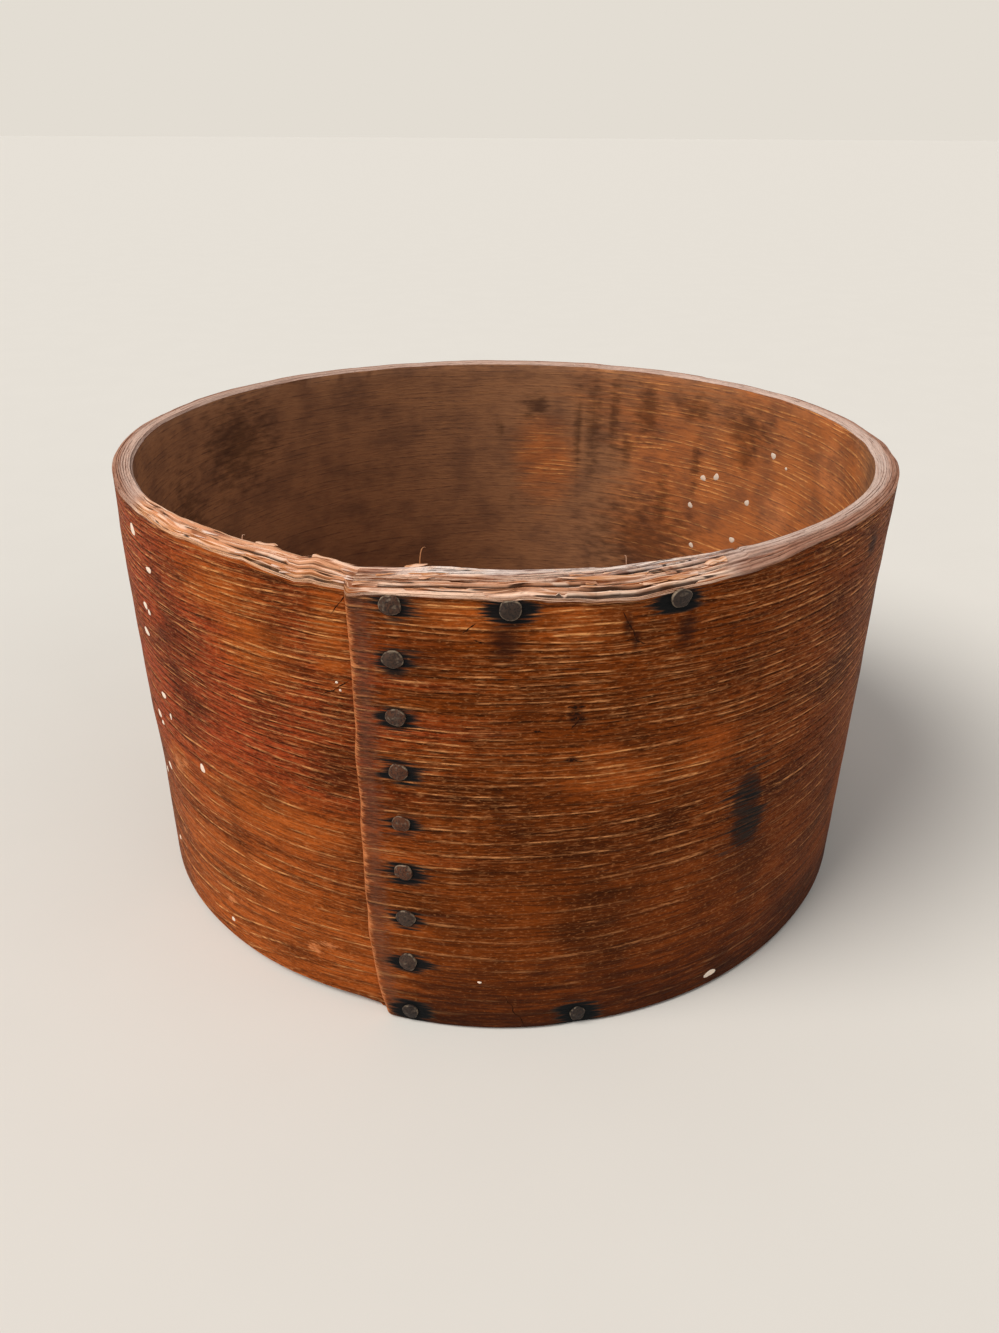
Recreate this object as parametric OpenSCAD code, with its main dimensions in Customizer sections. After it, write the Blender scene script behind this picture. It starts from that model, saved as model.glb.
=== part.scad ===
// Round bentwood dry measure: one wide strip of wood bent into a hoop, its ends
// lapped and nailed, with a round base board nailed inside its lower edge.
// Angles are counted from the front (-Y) towards the right (+X), in degrees.
// The origin is the centre of the base, on the ground.

/* [Measure] */
// Inside diameter of the hoop
inside_d = 216; // [150:1:330]
// Height of the hoop, from the ground to the rim
height = 128; // [90:0.5:200]

/* [Hoop] */
// Thickness of the bent strip where it is a single full layer
wall_t = 5.9; // [4.5:0.1:8]
// Step at the seam, where the outer end of the strip lies over the inner end
seam_step = 2.6; // [1.4:0.1:3.6]
// Place of the seam
seam_angle = -16.5; // [-60:0.5:60]
// Angle over which the two ends of the strip lie over each other
lap_angle = 44.5; // [36:0.5:60]
// Thickness left at the skived inner end of the strip
feather_t = 0.8; // [0.5:0.1:1.6]
// Gap between the two lapped layers
lap_gap = 0.2; // [0.1:0.05:0.4]
// Width of the worn bevel on the outer edge of the rim
rim_wear_w = 1.6; // [0.6:0.1:2.4]
// Depth of the worn bevel on the outer edge of the rim
rim_wear_h = 2; // [0.6:0.1:2.4]

/* [Base board] */
// Thickness of the base board
base_t = 7.7; // [6:0.1:14]
// Clearance between the base board and the hoop
base_clear = 0.15; // [0.05:0.05:0.4]

/* [Nails] */
// Diameter of a nail's head
head_d = 4.8; // [3.6:0.1:5.6]
// Thickness of a nail's head at its edge
head_edge_t = 0.5; // [0.4:0.1:1]
// Height of the dome on a nail's head
head_dome = 0.6; // [0.3:0.1:1]
// Depth that a nail's head is driven into the wood
head_sink = 0.3; // [0.2:0.05:0.4]
// Diameter of a nail's shank
shank_d = 1.8; // [1.2:0.1:2.4]
// Clearance round a nail's shank and head
nail_clear = 0.05; // [0.03:0.01:0.1]
// Length of the pointed tip of a nail
tip_len = 3; // [1.5:0.1:5]
// Gap between a clinched tail and the wood that it is bent down on
clinch_clear = 0.1; // [0.05:0.05:0.3]
// Straight part of a clinched tail, between its bend and its tip
tail_len = 1.5; // [0.5:0.1:4]

/* [Nail places] */
// Distance from the seam to the row of nails that closes the lap
lap_nail_inset = 9; // [6:0.5:16]
// Number of nails in that row, between the rim nail and the base nail
lap_nail_count = 7; // [3:1:7]
// Distance from the base nail up to the lowest nail in that row
lap_nail_low_gap = 17.6; // [8:0.1:22]
// Distance from the rim nail down to the highest nail in that row
lap_nail_high_gap = 12.8; // [8:0.1:22]
// Distance of the rim nails below the rim
rim_nail_drop = 6.2; // [5:0.1:9]
// Distance from the seam to the second rim nail; the first is in the row at the lap
rim_nail_second = 34.5; // [20:0.5:50]
// Distance from the seam to the third rim nail
rim_nail_third = 72; // [60:0.5:82]
// Distance from the seam to the second base nail; the first is in the row at the lap
base_nail_second = 53.5; // [25:0.5:82]
// Length of a base nail below its head
base_nail_len = 22; // [16:0.5:30]
// Number of base nails round the back
back_nail_count = 4; // [2:1:8]
// Place of the first base nail round the back
back_nail_first_angle = 100; // [95:1:130]
// Angle from the first to the last base nail round the back
back_nail_spread_angle = 160; // [90:1:165]

/* [Hidden] */
$fn = 96;

wood_brown = "#8f4a24";
board_brown = "#7d4f2e";
iron_grey = "#4b4541";

inner_r = inside_d / 2;
outer_r = inner_r + wall_t;
half_step = seam_step / 2;
lap_end_angle = seam_angle + lap_angle;

// Unit vector at an angle from the front
function heading(a) = [sin(a), -cos(a)];
// Distance from the origin along a heading to a circle that surrounds it
function reach(a, centre, radius) =
    let (along = centre * heading(a))
    along + sqrt(radius * radius - centre * centre + along * along);
// Angle from the seam to a heading, going right, from 0 to 360
function past_seam(a) = ((a - seam_angle) % 360 + 360) % 360;

// The hoop's outside is three arcs: the back half about the origin, and two
// quarters about one shifted centre, a step apart where they meet at the seam.
// The quarters run into the back half at a very flat angle, so that they cross it.
arc_cross = 0.02;
front_centre = -half_step * heading(seam_angle + 90);
right_r = outer_r + half_step - arc_cross;
left_r = outer_r - half_step + arc_cross;
// Distance from the origin to the hoop's outside along a heading
function outside(a) =
    past_seam(a) < 90 ? max(outer_r, reach(a, front_centre, right_r)) :
    past_seam(a) > 270 ? min(outer_r, reach(a, front_centre, left_r)) :
    outer_r;

// The lapped layers meet on one arc. It leaves the left quarter's outside at the
// seam and comes down to the skived end, which lies on the hoop's inside.
skived_r = reach(lap_end_angle, -front_centre, inner_r) + feather_t;
scarf_shift = (left_r * left_r - skived_r * skived_r) / (2 * (left_r - skived_r * cos(lap_angle)));
scarf_centre = front_centre + scarf_shift * heading(seam_angle);
scarf_r = left_r - scarf_shift;
lap_end_gap_angle = lap_gap / inner_r * 180 / PI;

// Angle of a place that is a distance along the outside from the seam
function seam_offset(distance) = seam_angle + distance / right_r * 180 / PI;

bend_r = shank_d / 2 + clinch_clear;
lap_nail_angle = seam_offset(lap_nail_inset);
rim_nail_angles = [lap_nail_angle, seam_offset(rim_nail_second), seam_offset(rim_nail_third)];
back_nail_step_angle = back_nail_spread_angle / (back_nail_count - 1);
base_nail_angles = concat(
    [lap_nail_angle, seam_offset(base_nail_second)],
    [for (i = [0 : back_nail_count - 1]) back_nail_first_angle + i * back_nail_step_angle]);
base_nail_z = base_t / 2;
rim_nail_z = height - rim_nail_drop;
lap_nail_low_z = base_nail_z + lap_nail_low_gap;
lap_nail_high_z = rim_nail_z - lap_nail_high_gap;
lap_nail_pitch = (lap_nail_high_z - lap_nail_low_z) / (lap_nail_count - 1);
function lap_nail_z(i) = lap_nail_low_z + (i - 1) * lap_nail_pitch;

// Pie slice about the front quarters' centre, from one heading and up to 90 degrees on
module slice(radius, from, sweep) {
    far = 2 * radius;
    translate(front_centre)
    intersection() {
        circle(r = radius);
        polygon([[0, 0], far * heading(from), far * heading(from + sweep / 2), far * heading(from + sweep)]);
    }
}

// The thin gap between the lapped layers, open at the seam and at the inner end
module lap_slot() {
    difference() {
        intersection() {
            translate(scarf_centre) circle(r = scarf_r + lap_gap);
            slice(right_r, seam_angle, lap_angle);
        }
        translate(scarf_centre) circle(r = scarf_r);
    }
    intersection() {
        translate(scarf_centre) circle(r = scarf_r + lap_gap);
        slice(right_r, lap_end_angle, lap_end_gap_angle);
    }
}

// Plan of the bent strip with its lapped ends
module strip_plan() {
    difference() {
        union() {
            circle(r = outer_r);
            slice(right_r, seam_angle, 90);
        }
        difference() {
            slice(right_r, seam_angle - 90, 90);
            translate(front_centre) circle(r = left_r);
        }
        circle(r = inner_r);
        lap_slot();
    }
}

// What wear has taken off the rim's outer edge: most where the hoop stands out furthest
module rim_wear() {
    slope = rim_wear_h / rim_wear_w;
    inwards = 2 * rim_wear_w;
    outwards = seam_step;
    rotate_extrude()
    polygon([
        [outer_r - inwards, height - rim_wear_h + inwards * slope],
        [outer_r + outwards, height - rim_wear_h - outwards * slope],
        [outer_r + outwards, height - rim_wear_h + inwards * slope]]);
}

// Puts a nail's own frame on the hoop: its axis outwards, its seat at the origin
module at_nail(a, z) {
    rotate([0, 0, a - 90])
    translate([outside(a) - head_sink, 0, z])
    rotate([0, 90, 0])
    children();
}

// Hole for a nail's shank, with the flat seat that its head is driven into
module nail_hole(depth) {
    translate([0, 0, -depth])
    cylinder(d = shank_d + 2 * nail_clear, h = depth + head_sink);
    cylinder(d = head_d + 2 * nail_clear, h = 2 * head_sink);
}

module nail_head() {
    dome_r = (pow(head_d / 2, 2) + pow(head_dome, 2)) / (2 * head_dome);
    head_t = head_edge_t + head_dome;
    intersection() {
        cylinder(d = head_d, h = head_t);
        translate([0, 0, head_t - dome_r]) sphere(r = dome_r);
    }
}

// A nail through the wall whose tail is bent down against the inside
module clinched_nail(grip) {
    color(iron_grey) {
        nail_head();
        translate([0, 0, -grip])
        cylinder(d = shank_d, h = grip + head_edge_t / 2);
        translate([bend_r, 0, -grip])
        rotate([90, 0, 0])
        rotate_extrude(start = 180, angle = 90)
        translate([bend_r, 0]) circle(d = shank_d);
        translate([bend_r, 0, -grip - bend_r])
        rotate([0, 90, 0]) {
            cylinder(d = shank_d, h = tail_len);
            translate([0, 0, tail_len]) cylinder(d1 = shank_d, d2 = 0, h = tip_len);
        }
    }
}

// A straight nail through the wall and into the edge of the base board
module straight_nail(length) {
    color(iron_grey) {
        nail_head();
        translate([0, 0, tip_len - length])
        cylinder(d = shank_d, h = length - tip_len + head_edge_t / 2);
        translate([0, 0, -length]) cylinder(d1 = 0, d2 = shank_d, h = tip_len);
    }
}

// Depth from a nail's seat to the hoop's inside
function grip(a) = outside(a) - head_sink - inner_r;

module base_nail_holes() {
    for (a = base_nail_angles)
        at_nail(a, base_nail_z) nail_hole(base_nail_len + nail_clear);
}

module clinched_nail_holes() {
    for (i = [1 : lap_nail_count])
        at_nail(lap_nail_angle, lap_nail_z(i)) nail_hole(grip(lap_nail_angle) + wall_t);
    for (a = rim_nail_angles)
        at_nail(a, rim_nail_z) nail_hole(grip(a) + wall_t);
}

module hoop() {
    color(wood_brown)
    difference() {
        linear_extrude(height) strip_plan();
        rim_wear();
        clinched_nail_holes();
        base_nail_holes();
    }
}

module base_board() {
    color(board_brown)
    difference() {
        cylinder(r = inner_r - base_clear, h = base_t);
        base_nail_holes();
    }
}

module lap_nail(i) {
    at_nail(lap_nail_angle, lap_nail_z(i)) clinched_nail(grip(lap_nail_angle));
}

module rim_nail(i) {
    a = rim_nail_angles[i - 1];
    at_nail(a, rim_nail_z) clinched_nail(grip(a));
}

module base_nail(i) {
    at_nail(base_nail_angles[i - 1], base_nail_z) straight_nail(base_nail_len);
}

hoop();
base_board();
for (i = [1 : lap_nail_count])
    lap_nail(i);
for (i = [1 : len(rim_nail_angles)])
    rim_nail(i);
for (i = [1 : len(base_nail_angles)])
    base_nail(i);
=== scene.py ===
"""Looks of a round bentwood grain measure: a lapped and nailed hoop of oiled ash on a base board."""
import math
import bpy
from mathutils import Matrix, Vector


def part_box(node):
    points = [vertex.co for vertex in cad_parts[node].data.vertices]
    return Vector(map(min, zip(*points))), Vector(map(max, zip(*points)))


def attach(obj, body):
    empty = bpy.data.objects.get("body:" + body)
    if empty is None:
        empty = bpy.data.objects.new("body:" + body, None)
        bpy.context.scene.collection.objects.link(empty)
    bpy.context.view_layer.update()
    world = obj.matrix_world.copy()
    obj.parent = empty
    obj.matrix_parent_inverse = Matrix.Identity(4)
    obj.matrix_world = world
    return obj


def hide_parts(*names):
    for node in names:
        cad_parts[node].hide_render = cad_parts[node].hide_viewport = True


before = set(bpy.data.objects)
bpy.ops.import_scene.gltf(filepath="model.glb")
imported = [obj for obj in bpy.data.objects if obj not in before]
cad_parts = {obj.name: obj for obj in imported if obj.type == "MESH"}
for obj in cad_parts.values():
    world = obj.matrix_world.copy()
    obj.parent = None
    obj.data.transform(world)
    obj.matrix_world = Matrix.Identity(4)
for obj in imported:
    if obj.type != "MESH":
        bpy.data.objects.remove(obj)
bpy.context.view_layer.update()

from types import SimpleNamespace

import bmesh
import bpy
import numpy as np
from bpy.props import FloatProperty, FloatVectorProperty, IntProperty, PointerProperty
from mathutils import Matrix, Vector

bl_info = {
    "name": "Grain measure",
    "version": (1, 0, 0),
    "blender": (4, 5, 0),
    "location": "3D View > Sidebar > Grain measure",
    "description": "Builds the worn wood, forged nails and studio of a bentwood grain measure",
    "category": "Add Mesh",
}

# Units and whole turns
MM = 0.001
FULL_TURN = 2 * math.pi
QUARTER_TURN = math.pi / 2

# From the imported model: its body, the measure's height, the board's top and radius, and the nails
BODY = "root"
MEASURE_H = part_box("hoop")[1].z
BOARD_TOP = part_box("base_board")[1].z
BOARD_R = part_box("base_board")[1].x
NAIL_NODES = sorted(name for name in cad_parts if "nail" in name)

# Height of the photograph in pixels, and the focal length found for it
PHOTO_H = 1333
FOCAL_PX = 1000

# Points closer than the first fall together, and shares and angles closer than the second are the same
POLE_REACH = 1e-7
TINY = 1e-6

# Seed of each noise and draw; a nail's order is added to those of its stain, outline and dents
SEED = SimpleNamespace(
    end=5, lengths=12, rim=31, jags=33, drift=37, torn=41, waves=43, swells=45, splits=47, hollows=51,
    ripples=53, inside=57, chips=61, rubbed=63, planed=71, bends=73, kinks=75, flecks=81, splinters=91,
    stain=200, outline=300, dents=400)

# Sides of the strip's section, in the order that its rows go round it
OUTSIDE, RIM, INSIDE, BOTTOM = range(4)


def linear(hex_code):
    """An sRGB hex colour as linear red, green, blue and alpha."""
    parts = [int(hex_code[i:i + 2], 16) / 255 for i in (1, 3, 5)]
    return tuple(c / 12.92 if c <= 0.04045 else ((c + 0.055) / 1.055) ** 2.4 for c in parts) + (1.0,)


def length(name, description, default):
    """A size that a user may change, in metres."""
    return FloatProperty(name=name, description=description, default=default, unit="LENGTH", precision=5)


def angle(name, description, degrees):
    """An angle that a user may change, in radians."""
    return FloatProperty(name=name, description=description, default=math.radians(degrees), subtype="ANGLE")


def colour(name, description, hex_code):
    """A paint that a user may change."""
    return FloatVectorProperty(name=name, description=description, default=linear(hex_code),
                               subtype="COLOR", size=4, min=0, max=1)


class HoopSizes(bpy.types.PropertyGroup):
    """Sizes of the bent strip and of the wear on it."""
    inside_d: length("Inside diameter", "Clear width of the measure", 216 * MM)
    wall_t: length("Wall", "Thickness of the strip", 5.9 * MM)
    seam_step: length("Seam step", "How far the outer lap stands proud at its end", 2.6 * MM)
    seam_angle: angle("Seam angle", "Where the outer lap ends, from the front towards the right", -16.5)
    lap_angle: angle("Lap angle", "How far the strip runs on under itself", 44.5)
    lap_gap: length("Lap gap", "Gap between the laps", 0.25 * MM)
    feather_t: length("Feather", "Thickness of the inner end", 0.8 * MM)
    end_round: length("End rounding", "Worn radius of the outer lap's end", 1.9 * MM)
    end_reach: length("End reach", "How far the worn outer end stands past the seam", 1.7 * MM)
    corner_cut: length("Corner wear", "How much of the outer lap's lower corner is gone", 3.2 * MM)
    corner_h: length("Corner height", "Height over which that corner is worn", 34 * MM)
    edge_round: length("Edge rounding", "Worn radius of the lower edges", 0.9 * MM)
    front_step: length("Front spacing", "Distance between columns round the front", 0.62 * MM)
    back_step: length("Back spacing", "Distance between columns behind", 2.1 * MM)

    @property
    def inner_r(self):
        """Radius of the hoop's inside."""
        return self.inside_d / 2

    @property
    def outer_r(self):
        """Radius of the hoop's outside, away from the lap."""
        return self.inner_r + self.wall_t


class NailSizes(bpy.types.PropertyGroup):
    """Sizes of the forged nails."""
    head_d: length("Head", "Diameter of a head", 4.8 * MM)
    head_edge: length("Head edge", "Thickness of a head at its edge", 0.5 * MM)
    head_dome: length("Head dome", "Height of the crown above the edge", 0.6 * MM)
    shank_d: length("Shank", "Diameter of the shank", 1.8 * MM)
    tip_len: length("Tip", "Length of the point", 3 * MM)
    sectors: IntProperty(name="Sectors", description="Points round a nail", default=28, min=8)


class Paints(bpy.types.PropertyGroup):
    """Colours of the wood, the iron and the stage."""
    red_oil: colour("Red oil", "Oiled wood, reddest", "#a5431e")
    brown_oil: colour("Brown oil", "Oiled wood, brown", "#7c390d")
    # Golden oil, which also paints a sheen on the left
    gold_oil: colour("Gold oil", "Oiled wood, rubbed golden", "#b1571e")
    # Paler rubbed ridges, and also painted glints along them
    ridge_and_glint: colour("Ridge", "Rubbed ridges of the grain", "#d28c56")
    # Golden ridges outside, partly painted glints; inside, pale growth lines
    gold_line: colour("Golden line", "Ridges rubbed golden", "#eea562")
    # Open pores; the same colour also paints the broad shade spots and the shadow beside each growth line
    pore_and_shade: colour("Pore", "Open pores of the grain", "#2f1304")
    # Old dirt, and also painted shade: low on the right half outside and in one wide spot inside
    grime: colour("Grime", "Old dirt in the surface", "#2a140d")
    iron_stain: colour("Iron stain", "Wood blackened round the nails", "#131618")
    iron_halo: colour("Iron halo", "Wood greyed about the black stain", "#332f29")
    # Worn golden wood, and also painted highlights: the lit end of the outer lap, two glossy spots on the
    # left and the brightest light inside
    rubbed_edge_and_highlight: colour("Rubbed edge", "Edges rubbed back to golden wood", "#dc8a55")
    raw: colour("Raw wood", "Wood laid bare at the rim", "#c4875c")
    raw_pale: colour("Pale raw wood", "Freshest fibres at the rim", "#ffdcc4")
    crack: colour("Crack", "Depth of a split", "#27140b")
    grey: colour("Weathered", "Weathered grey of the rim", "#f4e4dc")
    dull: colour("Dull rim", "Rim handled smooth and dull", "#cdb0a2")
    inner_dark: colour("Inside dark", "Darkened wood inside", "#614337")
    inner_mid: colour("Inside brown", "Brown wood inside", "#a47350")
    # Painted light: the warm, bright look of the inside wall that faces the key light
    inner_lit: colour("Inside orange", "Cleanest wood inside", "#c0723f")
    board: colour("Board", "Bare base board", "#7d5636")
    board_dark: colour("Board dark", "Late growth of the base board", "#553620")
    iron: colour("Iron", "Dark forged iron", "#46342a")
    # Worn iron, and also painted glints and the painted highlight along the heads' edges
    iron_worn_and_glint: colour("Worn iron", "Iron rubbed bright", "#93826f")
    rust: colour("Rust", "Rust on the iron", "#5c341e")
    fleck: colour("Paint fleck", "Spattered pale paint", "#e9d9c8")
    floor: colour("Floor", "Studio floor", "#e3e0db")
    backdrop: colour("Backdrop", "Background behind the floor", "#e3ddd3")


class StageSettings(bpy.types.PropertyGroup):
    """Camera, lamps and floor."""
    camera_place: FloatVectorProperty(name="Camera", description="Place of the lens", size=3, unit="LENGTH",
                                      default=(-0.9 * MM, -303.4 * MM, 209.1 * MM), precision=5)
    camera_pitch: angle("Pitch", "How far the camera looks down", 28.06)
    camera_roll: angle("Roll", "How far the camera is turned", 0.3)
    key_level: FloatProperty(name="Key", description="Broad light, upper left", default=2.6)
    fill_level: FloatProperty(name="Fill", description="Weak light, right", default=0.4)
    sky_level: FloatProperty(name="Sky", description="Even light from all round", default=0.36)
    floor_r: length("Floor", "Radius of the floor", 60.0)


# Small functions on whole arrays

def ease(low, high, x):
    """0 below low, 1 above high, and the curve 3t^2 - 2t^3 between."""
    t = np.clip((x - low) / (high - low), 0, 1)
    return t * t * (3 - 2 * t)


def value_noise(x, y, seed, cells=97):
    """Smooth noise from 0 to 1: random values on a lattice, eased between neighbours."""
    table = np.random.default_rng(seed).random((cells, cells))
    x, y = np.broadcast_arrays(x, y)
    column, row = np.floor(x).astype(int), np.floor(y).astype(int)
    s, t = ease(0, 1, x - column), ease(0, 1, y - row)
    left, right = column % cells, (column + 1) % cells
    low, high = row % cells, (row + 1) % cells
    below = table[left, low] * (1 - s) + table[right, low] * s
    above = table[left, high] * (1 - s) + table[right, high] * s
    return below * (1 - t) + above * t


def ripple(x, y, seed, height):
    """Smooth noise about 0, with this height between its deepest and its highest."""
    return (value_noise(x, y, seed) - 0.5) * height


def heading(turned):
    """Level direction away from the axis at an angle from the front, as x and y."""
    return np.stack([np.sin(turned), -np.cos(turned)], -1)


def sideways(turned):
    """Level direction along the wall, to the right, at an angle from the front."""
    return np.stack([np.cos(turned), np.sin(turned), 0 * turned], -1)


def on_wall(turned, radius, z):
    """Points at angles from the front, distances from the axis and heights."""
    return np.concatenate([heading(turned) * radius[..., None], z[..., None]], -1)


def wrapped(turned):
    """The same angle between minus and plus half a turn."""
    return np.mod(turned + math.pi, FULL_TURN) - math.pi


def from_back(turned):
    """Degrees round the hoop from the back, between 0 and 360."""
    return np.degrees(wrapped(turned)) + 180


def between(turned, first, last):
    """0 on the near side of the first angle and 1 past the last, both in degrees from the front."""
    return ease(math.radians(first), math.radians(last), turned)


def reach(turned, centre, radius):
    """Distance from the axis to a circle about centre, along the heading at that angle."""
    along = heading(turned) @ centre
    return along + np.sqrt(radius ** 2 - centre @ centre + along ** 2)


def by_angle(turned, places):
    """A size that changes round the hoop, straight between (degrees, mm) places, in metres."""
    degrees, sizes = zip(*places)
    return np.interp(np.degrees(wrapped(turned)), degrees, sizes, period=360) * MM


def by_height(z, places):
    """A size that changes up the hoop, straight between (height, size) places in millimetres."""
    heights, sizes = zip(*places)
    return np.interp(z / MM, heights, sizes) * MM


# Meshes

def build_mesh(name, points, faces, fields=None, grain=None, sharp=35):
    """A mesh object from points and faces, with a value per point for each named field and a
    grain map per face corner."""
    mesh = bpy.data.meshes.new(name)
    mesh.from_pydata(np.asarray(points).reshape(-1, 3).tolist(), [], faces)
    for field, values in (fields or {}).items():
        layer = mesh.attributes.new(field, "FLOAT", "POINT")
        layer.data.foreach_set("value", np.asarray(values, np.float32).ravel())
    if grain is not None:
        layer = mesh.uv_layers.new(name="grain")
        layer.data.foreach_set("uv", np.asarray(grain, np.float32).ravel())
    mesh.polygons.foreach_set("use_smooth", np.ones(len(faces), bool))
    mesh.set_sharp_from_angle(angle=math.radians(sharp))
    mesh.update()
    piece = bpy.data.objects.new(name, mesh)
    bpy.context.scene.collection.objects.link(piece)
    return piece


def grid_faces(columns, rows, close_rows=False):
    """Four-cornered faces of a grid, as (column, row) pairs whose row may run past the last one where
    the grid closes on itself."""
    i, j = np.meshgrid(np.arange(columns - 1), np.arange(rows - 1 + close_rows), indexing="ij")
    corners = [(i, j), (i + 1, j), (i + 1, j + 1), (i, j + 1)]
    return np.stack([np.stack(c, -1) for c in corners], 2).reshape(-1, 4, 2)


def ring_faces(count, rings, sectors):
    """Faces of a number of grids of rings, each closed round its rings."""
    corners = grid_faces(rings, sectors, close_rows=True)
    index = corners[..., 0] * sectors + corners[..., 1] % sectors
    first = np.arange(count) * rings * sectors
    return (index + first[:, None, None]).reshape(-1, 4)


def tube_points(middle, side, up, half_side, half_up, sectors):
    """Rings of flattened tubes, tube by ring by sector: about each middle point, half_side times the
    cosine along one direction plus half_up times the sine along another."""
    theta = np.linspace(0, FULL_TURN, sectors, endpoint=False)
    across = (half_side[..., None] * np.cos(theta))[..., None] * side[:, :, None, :]
    rise = (half_up[..., None] * np.sin(theta))[..., None] * up[:, :, None, :]
    return middle[:, :, None, :] + across + rise


def merge_poles(piece):
    """Merges the points of a closed end that fall together and turns every face outward."""
    work = bmesh.new()
    work.from_mesh(piece.data)
    bmesh.ops.remove_doubles(work, verts=work.verts, dist=POLE_REACH)
    bmesh.ops.recalc_face_normals(work, faces=work.faces)
    work.to_mesh(piece.data)
    work.free()


def place_piece(piece, materials, nodes=()):
    """Puts the materials on a piece, lets it ride on the measure and stand for its CAD nodes."""
    for material in materials:
        piece.data.materials.append(material)
    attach(piece, BODY)
    if nodes:
        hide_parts(*nodes)


# Shape of the bent hoop

def outside_radius(sizes, turned):
    """Radius of the hoop's outside: a circle behind, and in front two quarters whose centre is half
    a step to the left, so that the right one stands a whole step proud where they meet."""
    half_step = sizes.seam_step / 2
    centre = -half_step * heading(sizes.seam_angle + QUARTER_TURN)
    turn = np.mod(turned - sizes.seam_angle, FULL_TURN)
    right = reach(turned, centre, sizes.outer_r + half_step)
    left = reach(turned, centre, sizes.outer_r - half_step)
    quarters = [turn < QUARTER_TURN, turn > FULL_TURN - QUARTER_TURN]
    return np.select(quarters, [right, left], sizes.outer_r)


def scarf_radius(sizes, turned):
    """Radius of the joint between the laps: a circle that leaves the left outside at the seam and
    comes within a feather's thickness of the inside at the lap's end."""
    half_step = sizes.seam_step / 2
    left_r = sizes.outer_r - half_step
    centre = -half_step * heading(sizes.seam_angle + QUARTER_TURN)
    skived_r = reach(sizes.seam_angle + sizes.lap_angle, -centre, sizes.inner_r) + sizes.feather_t
    shift = (left_r ** 2 - skived_r ** 2) / (2 * (left_r - skived_r * math.cos(sizes.lap_angle)))
    return reach(turned, centre + shift * heading(sizes.seam_angle), left_r - shift)


# Columns of the strip: how close they stand at its outer end, how fast they spread from there, and the
# angles off the front between which they go from close to wide
END_STEP = 0.16 * MM
STEP_GROWTH = 0.12
CLOSE_TO = math.radians(52)
WIDE_FROM = math.radians(90)
TURN_SAMPLES = 20000


def strip_turns(sizes):
    """Turns of the strip's columns from its outer end to its inner end: close together at the end
    and round the front, wider apart behind."""
    turns = np.linspace(0, FULL_TURN + sizes.lap_angle, TURN_SAMPLES)
    widening = ease(CLOSE_TO, WIDE_FROM, np.abs(wrapped(sizes.seam_angle + turns)))
    spacing = sizes.front_step + (sizes.back_step - sizes.front_step) * widening
    spacing = np.where(turns > FULL_TURN, sizes.back_step, spacing)
    spacing = np.minimum(spacing, END_STEP + STEP_GROWTH * turns * sizes.outer_r)
    count = np.concatenate([[0], np.cumsum(np.diff(turns) * sizes.outer_r / spacing[1:])])
    return np.interp(np.linspace(0, count[-1], int(count[-1])), count, turns)


# Worn rim and foot, by degrees from the front and millimetres: height of the rim's inner part, drop of its
# outer edge and width of the bevel between them, how ragged it is, and how far the foot is lifted
RIM_RISE = [(-150, 0), (-90, 0.3), (-58, -0.2), (-43, 0), (-34, 0.1), (-28, 0.2), (-24, -0.6),
            (-22, 0.3), (-19, -0.4), (-17, -1.1), (-13, -0.5), (-8, 0.6), (0, 0.7), (12, 0.6), (18, 0.5),
            (26, 0.5), (33, 0.5), (41, 0.7), (52, 0.8), (90, 0.5), (150, 0)]
RIM_DROP = [(-150, 0.9), (-90, 0.9), (-57, 0.8), (-49, 1.3), (-38, 2.1), (-31, 2.0), (-28, 3.8),
            (-23, 4.1), (-17.5, 4.0), (-15, 3.2), (-9, 3.9), (-2.7, 4.4), (2, 4.1), (6.8, 5.0),
            (11.6, 5.2), (14.5, 5.7), (17, 5.2), (19.5, 4.6), (24, 3.5), (29, 2.9), (36, 1.2), (43, 1.0),
            (60, 0.9), (150, 0.9)]
RIM_BEVEL = [(-150, 1.4), (-60, 1.8), (-45, 3.4), (-20, 3.8), (20, 3.8), (32, 3.0), (60, 1.8),
             (150, 1.4)]
RIM_RAGGED = [(-150, 0.18), (-75, 0.25), (-50, 0.7), (-40, 1), (21, 1), (25, 0.45), (34, 0.35),
              (60, 0.25), (150, 0.18)]
FOOT_LIFT = [(-120, 0), (-70, 0.3), (-45, 1.1), (-20, 1.3), (-16, 0.4), (-12, 0), (120, 0)]
# Curve of the bevel, and the rounding of the rim's inner edge
BEVEL_CURVE = 1.15
INNER_ROUND_H = 0.8 * MM
INNER_ROUND_W = 0.9 * MM
# Lanes of fibre along the rim, and the rows across each lane
RIM_LANES = 9
LANE_SHARES = (0.0, 0.16, 0.84)
# How far lanes drift, in lanes, how level each is trodden, and how far its lengths stand apart
LANE_DRIFT = 0.6
LANE_LEVEL = 0.8
LANE_STEP = 1.0 * MM
# Run of one length of a lane, and how many different lengths there are
LENGTH_RUN = 44 * MM
LENGTH_COUNT = 61
# Lanes where the layers of the wood have parted, and how pale each lane's fibre is
PARTED_LANES = (3, 5)
LANE_TONES = np.array([0.85, 0.9, 0.6, 0.3, 0.2, 0.45, 0.5, 0.5, 0.5])
# Depth of an open split, and how ragged the rim's outer edge is
SPLIT_DEPTH = 1.3 * MM
JAG_H = 1.0 * MM
# Rows up the outside, down the inside and out along the bottom
OUTSIDE_ROWS = 62
INSIDE_ROWS = 34
BOTTOM_ROWS = 6


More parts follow.
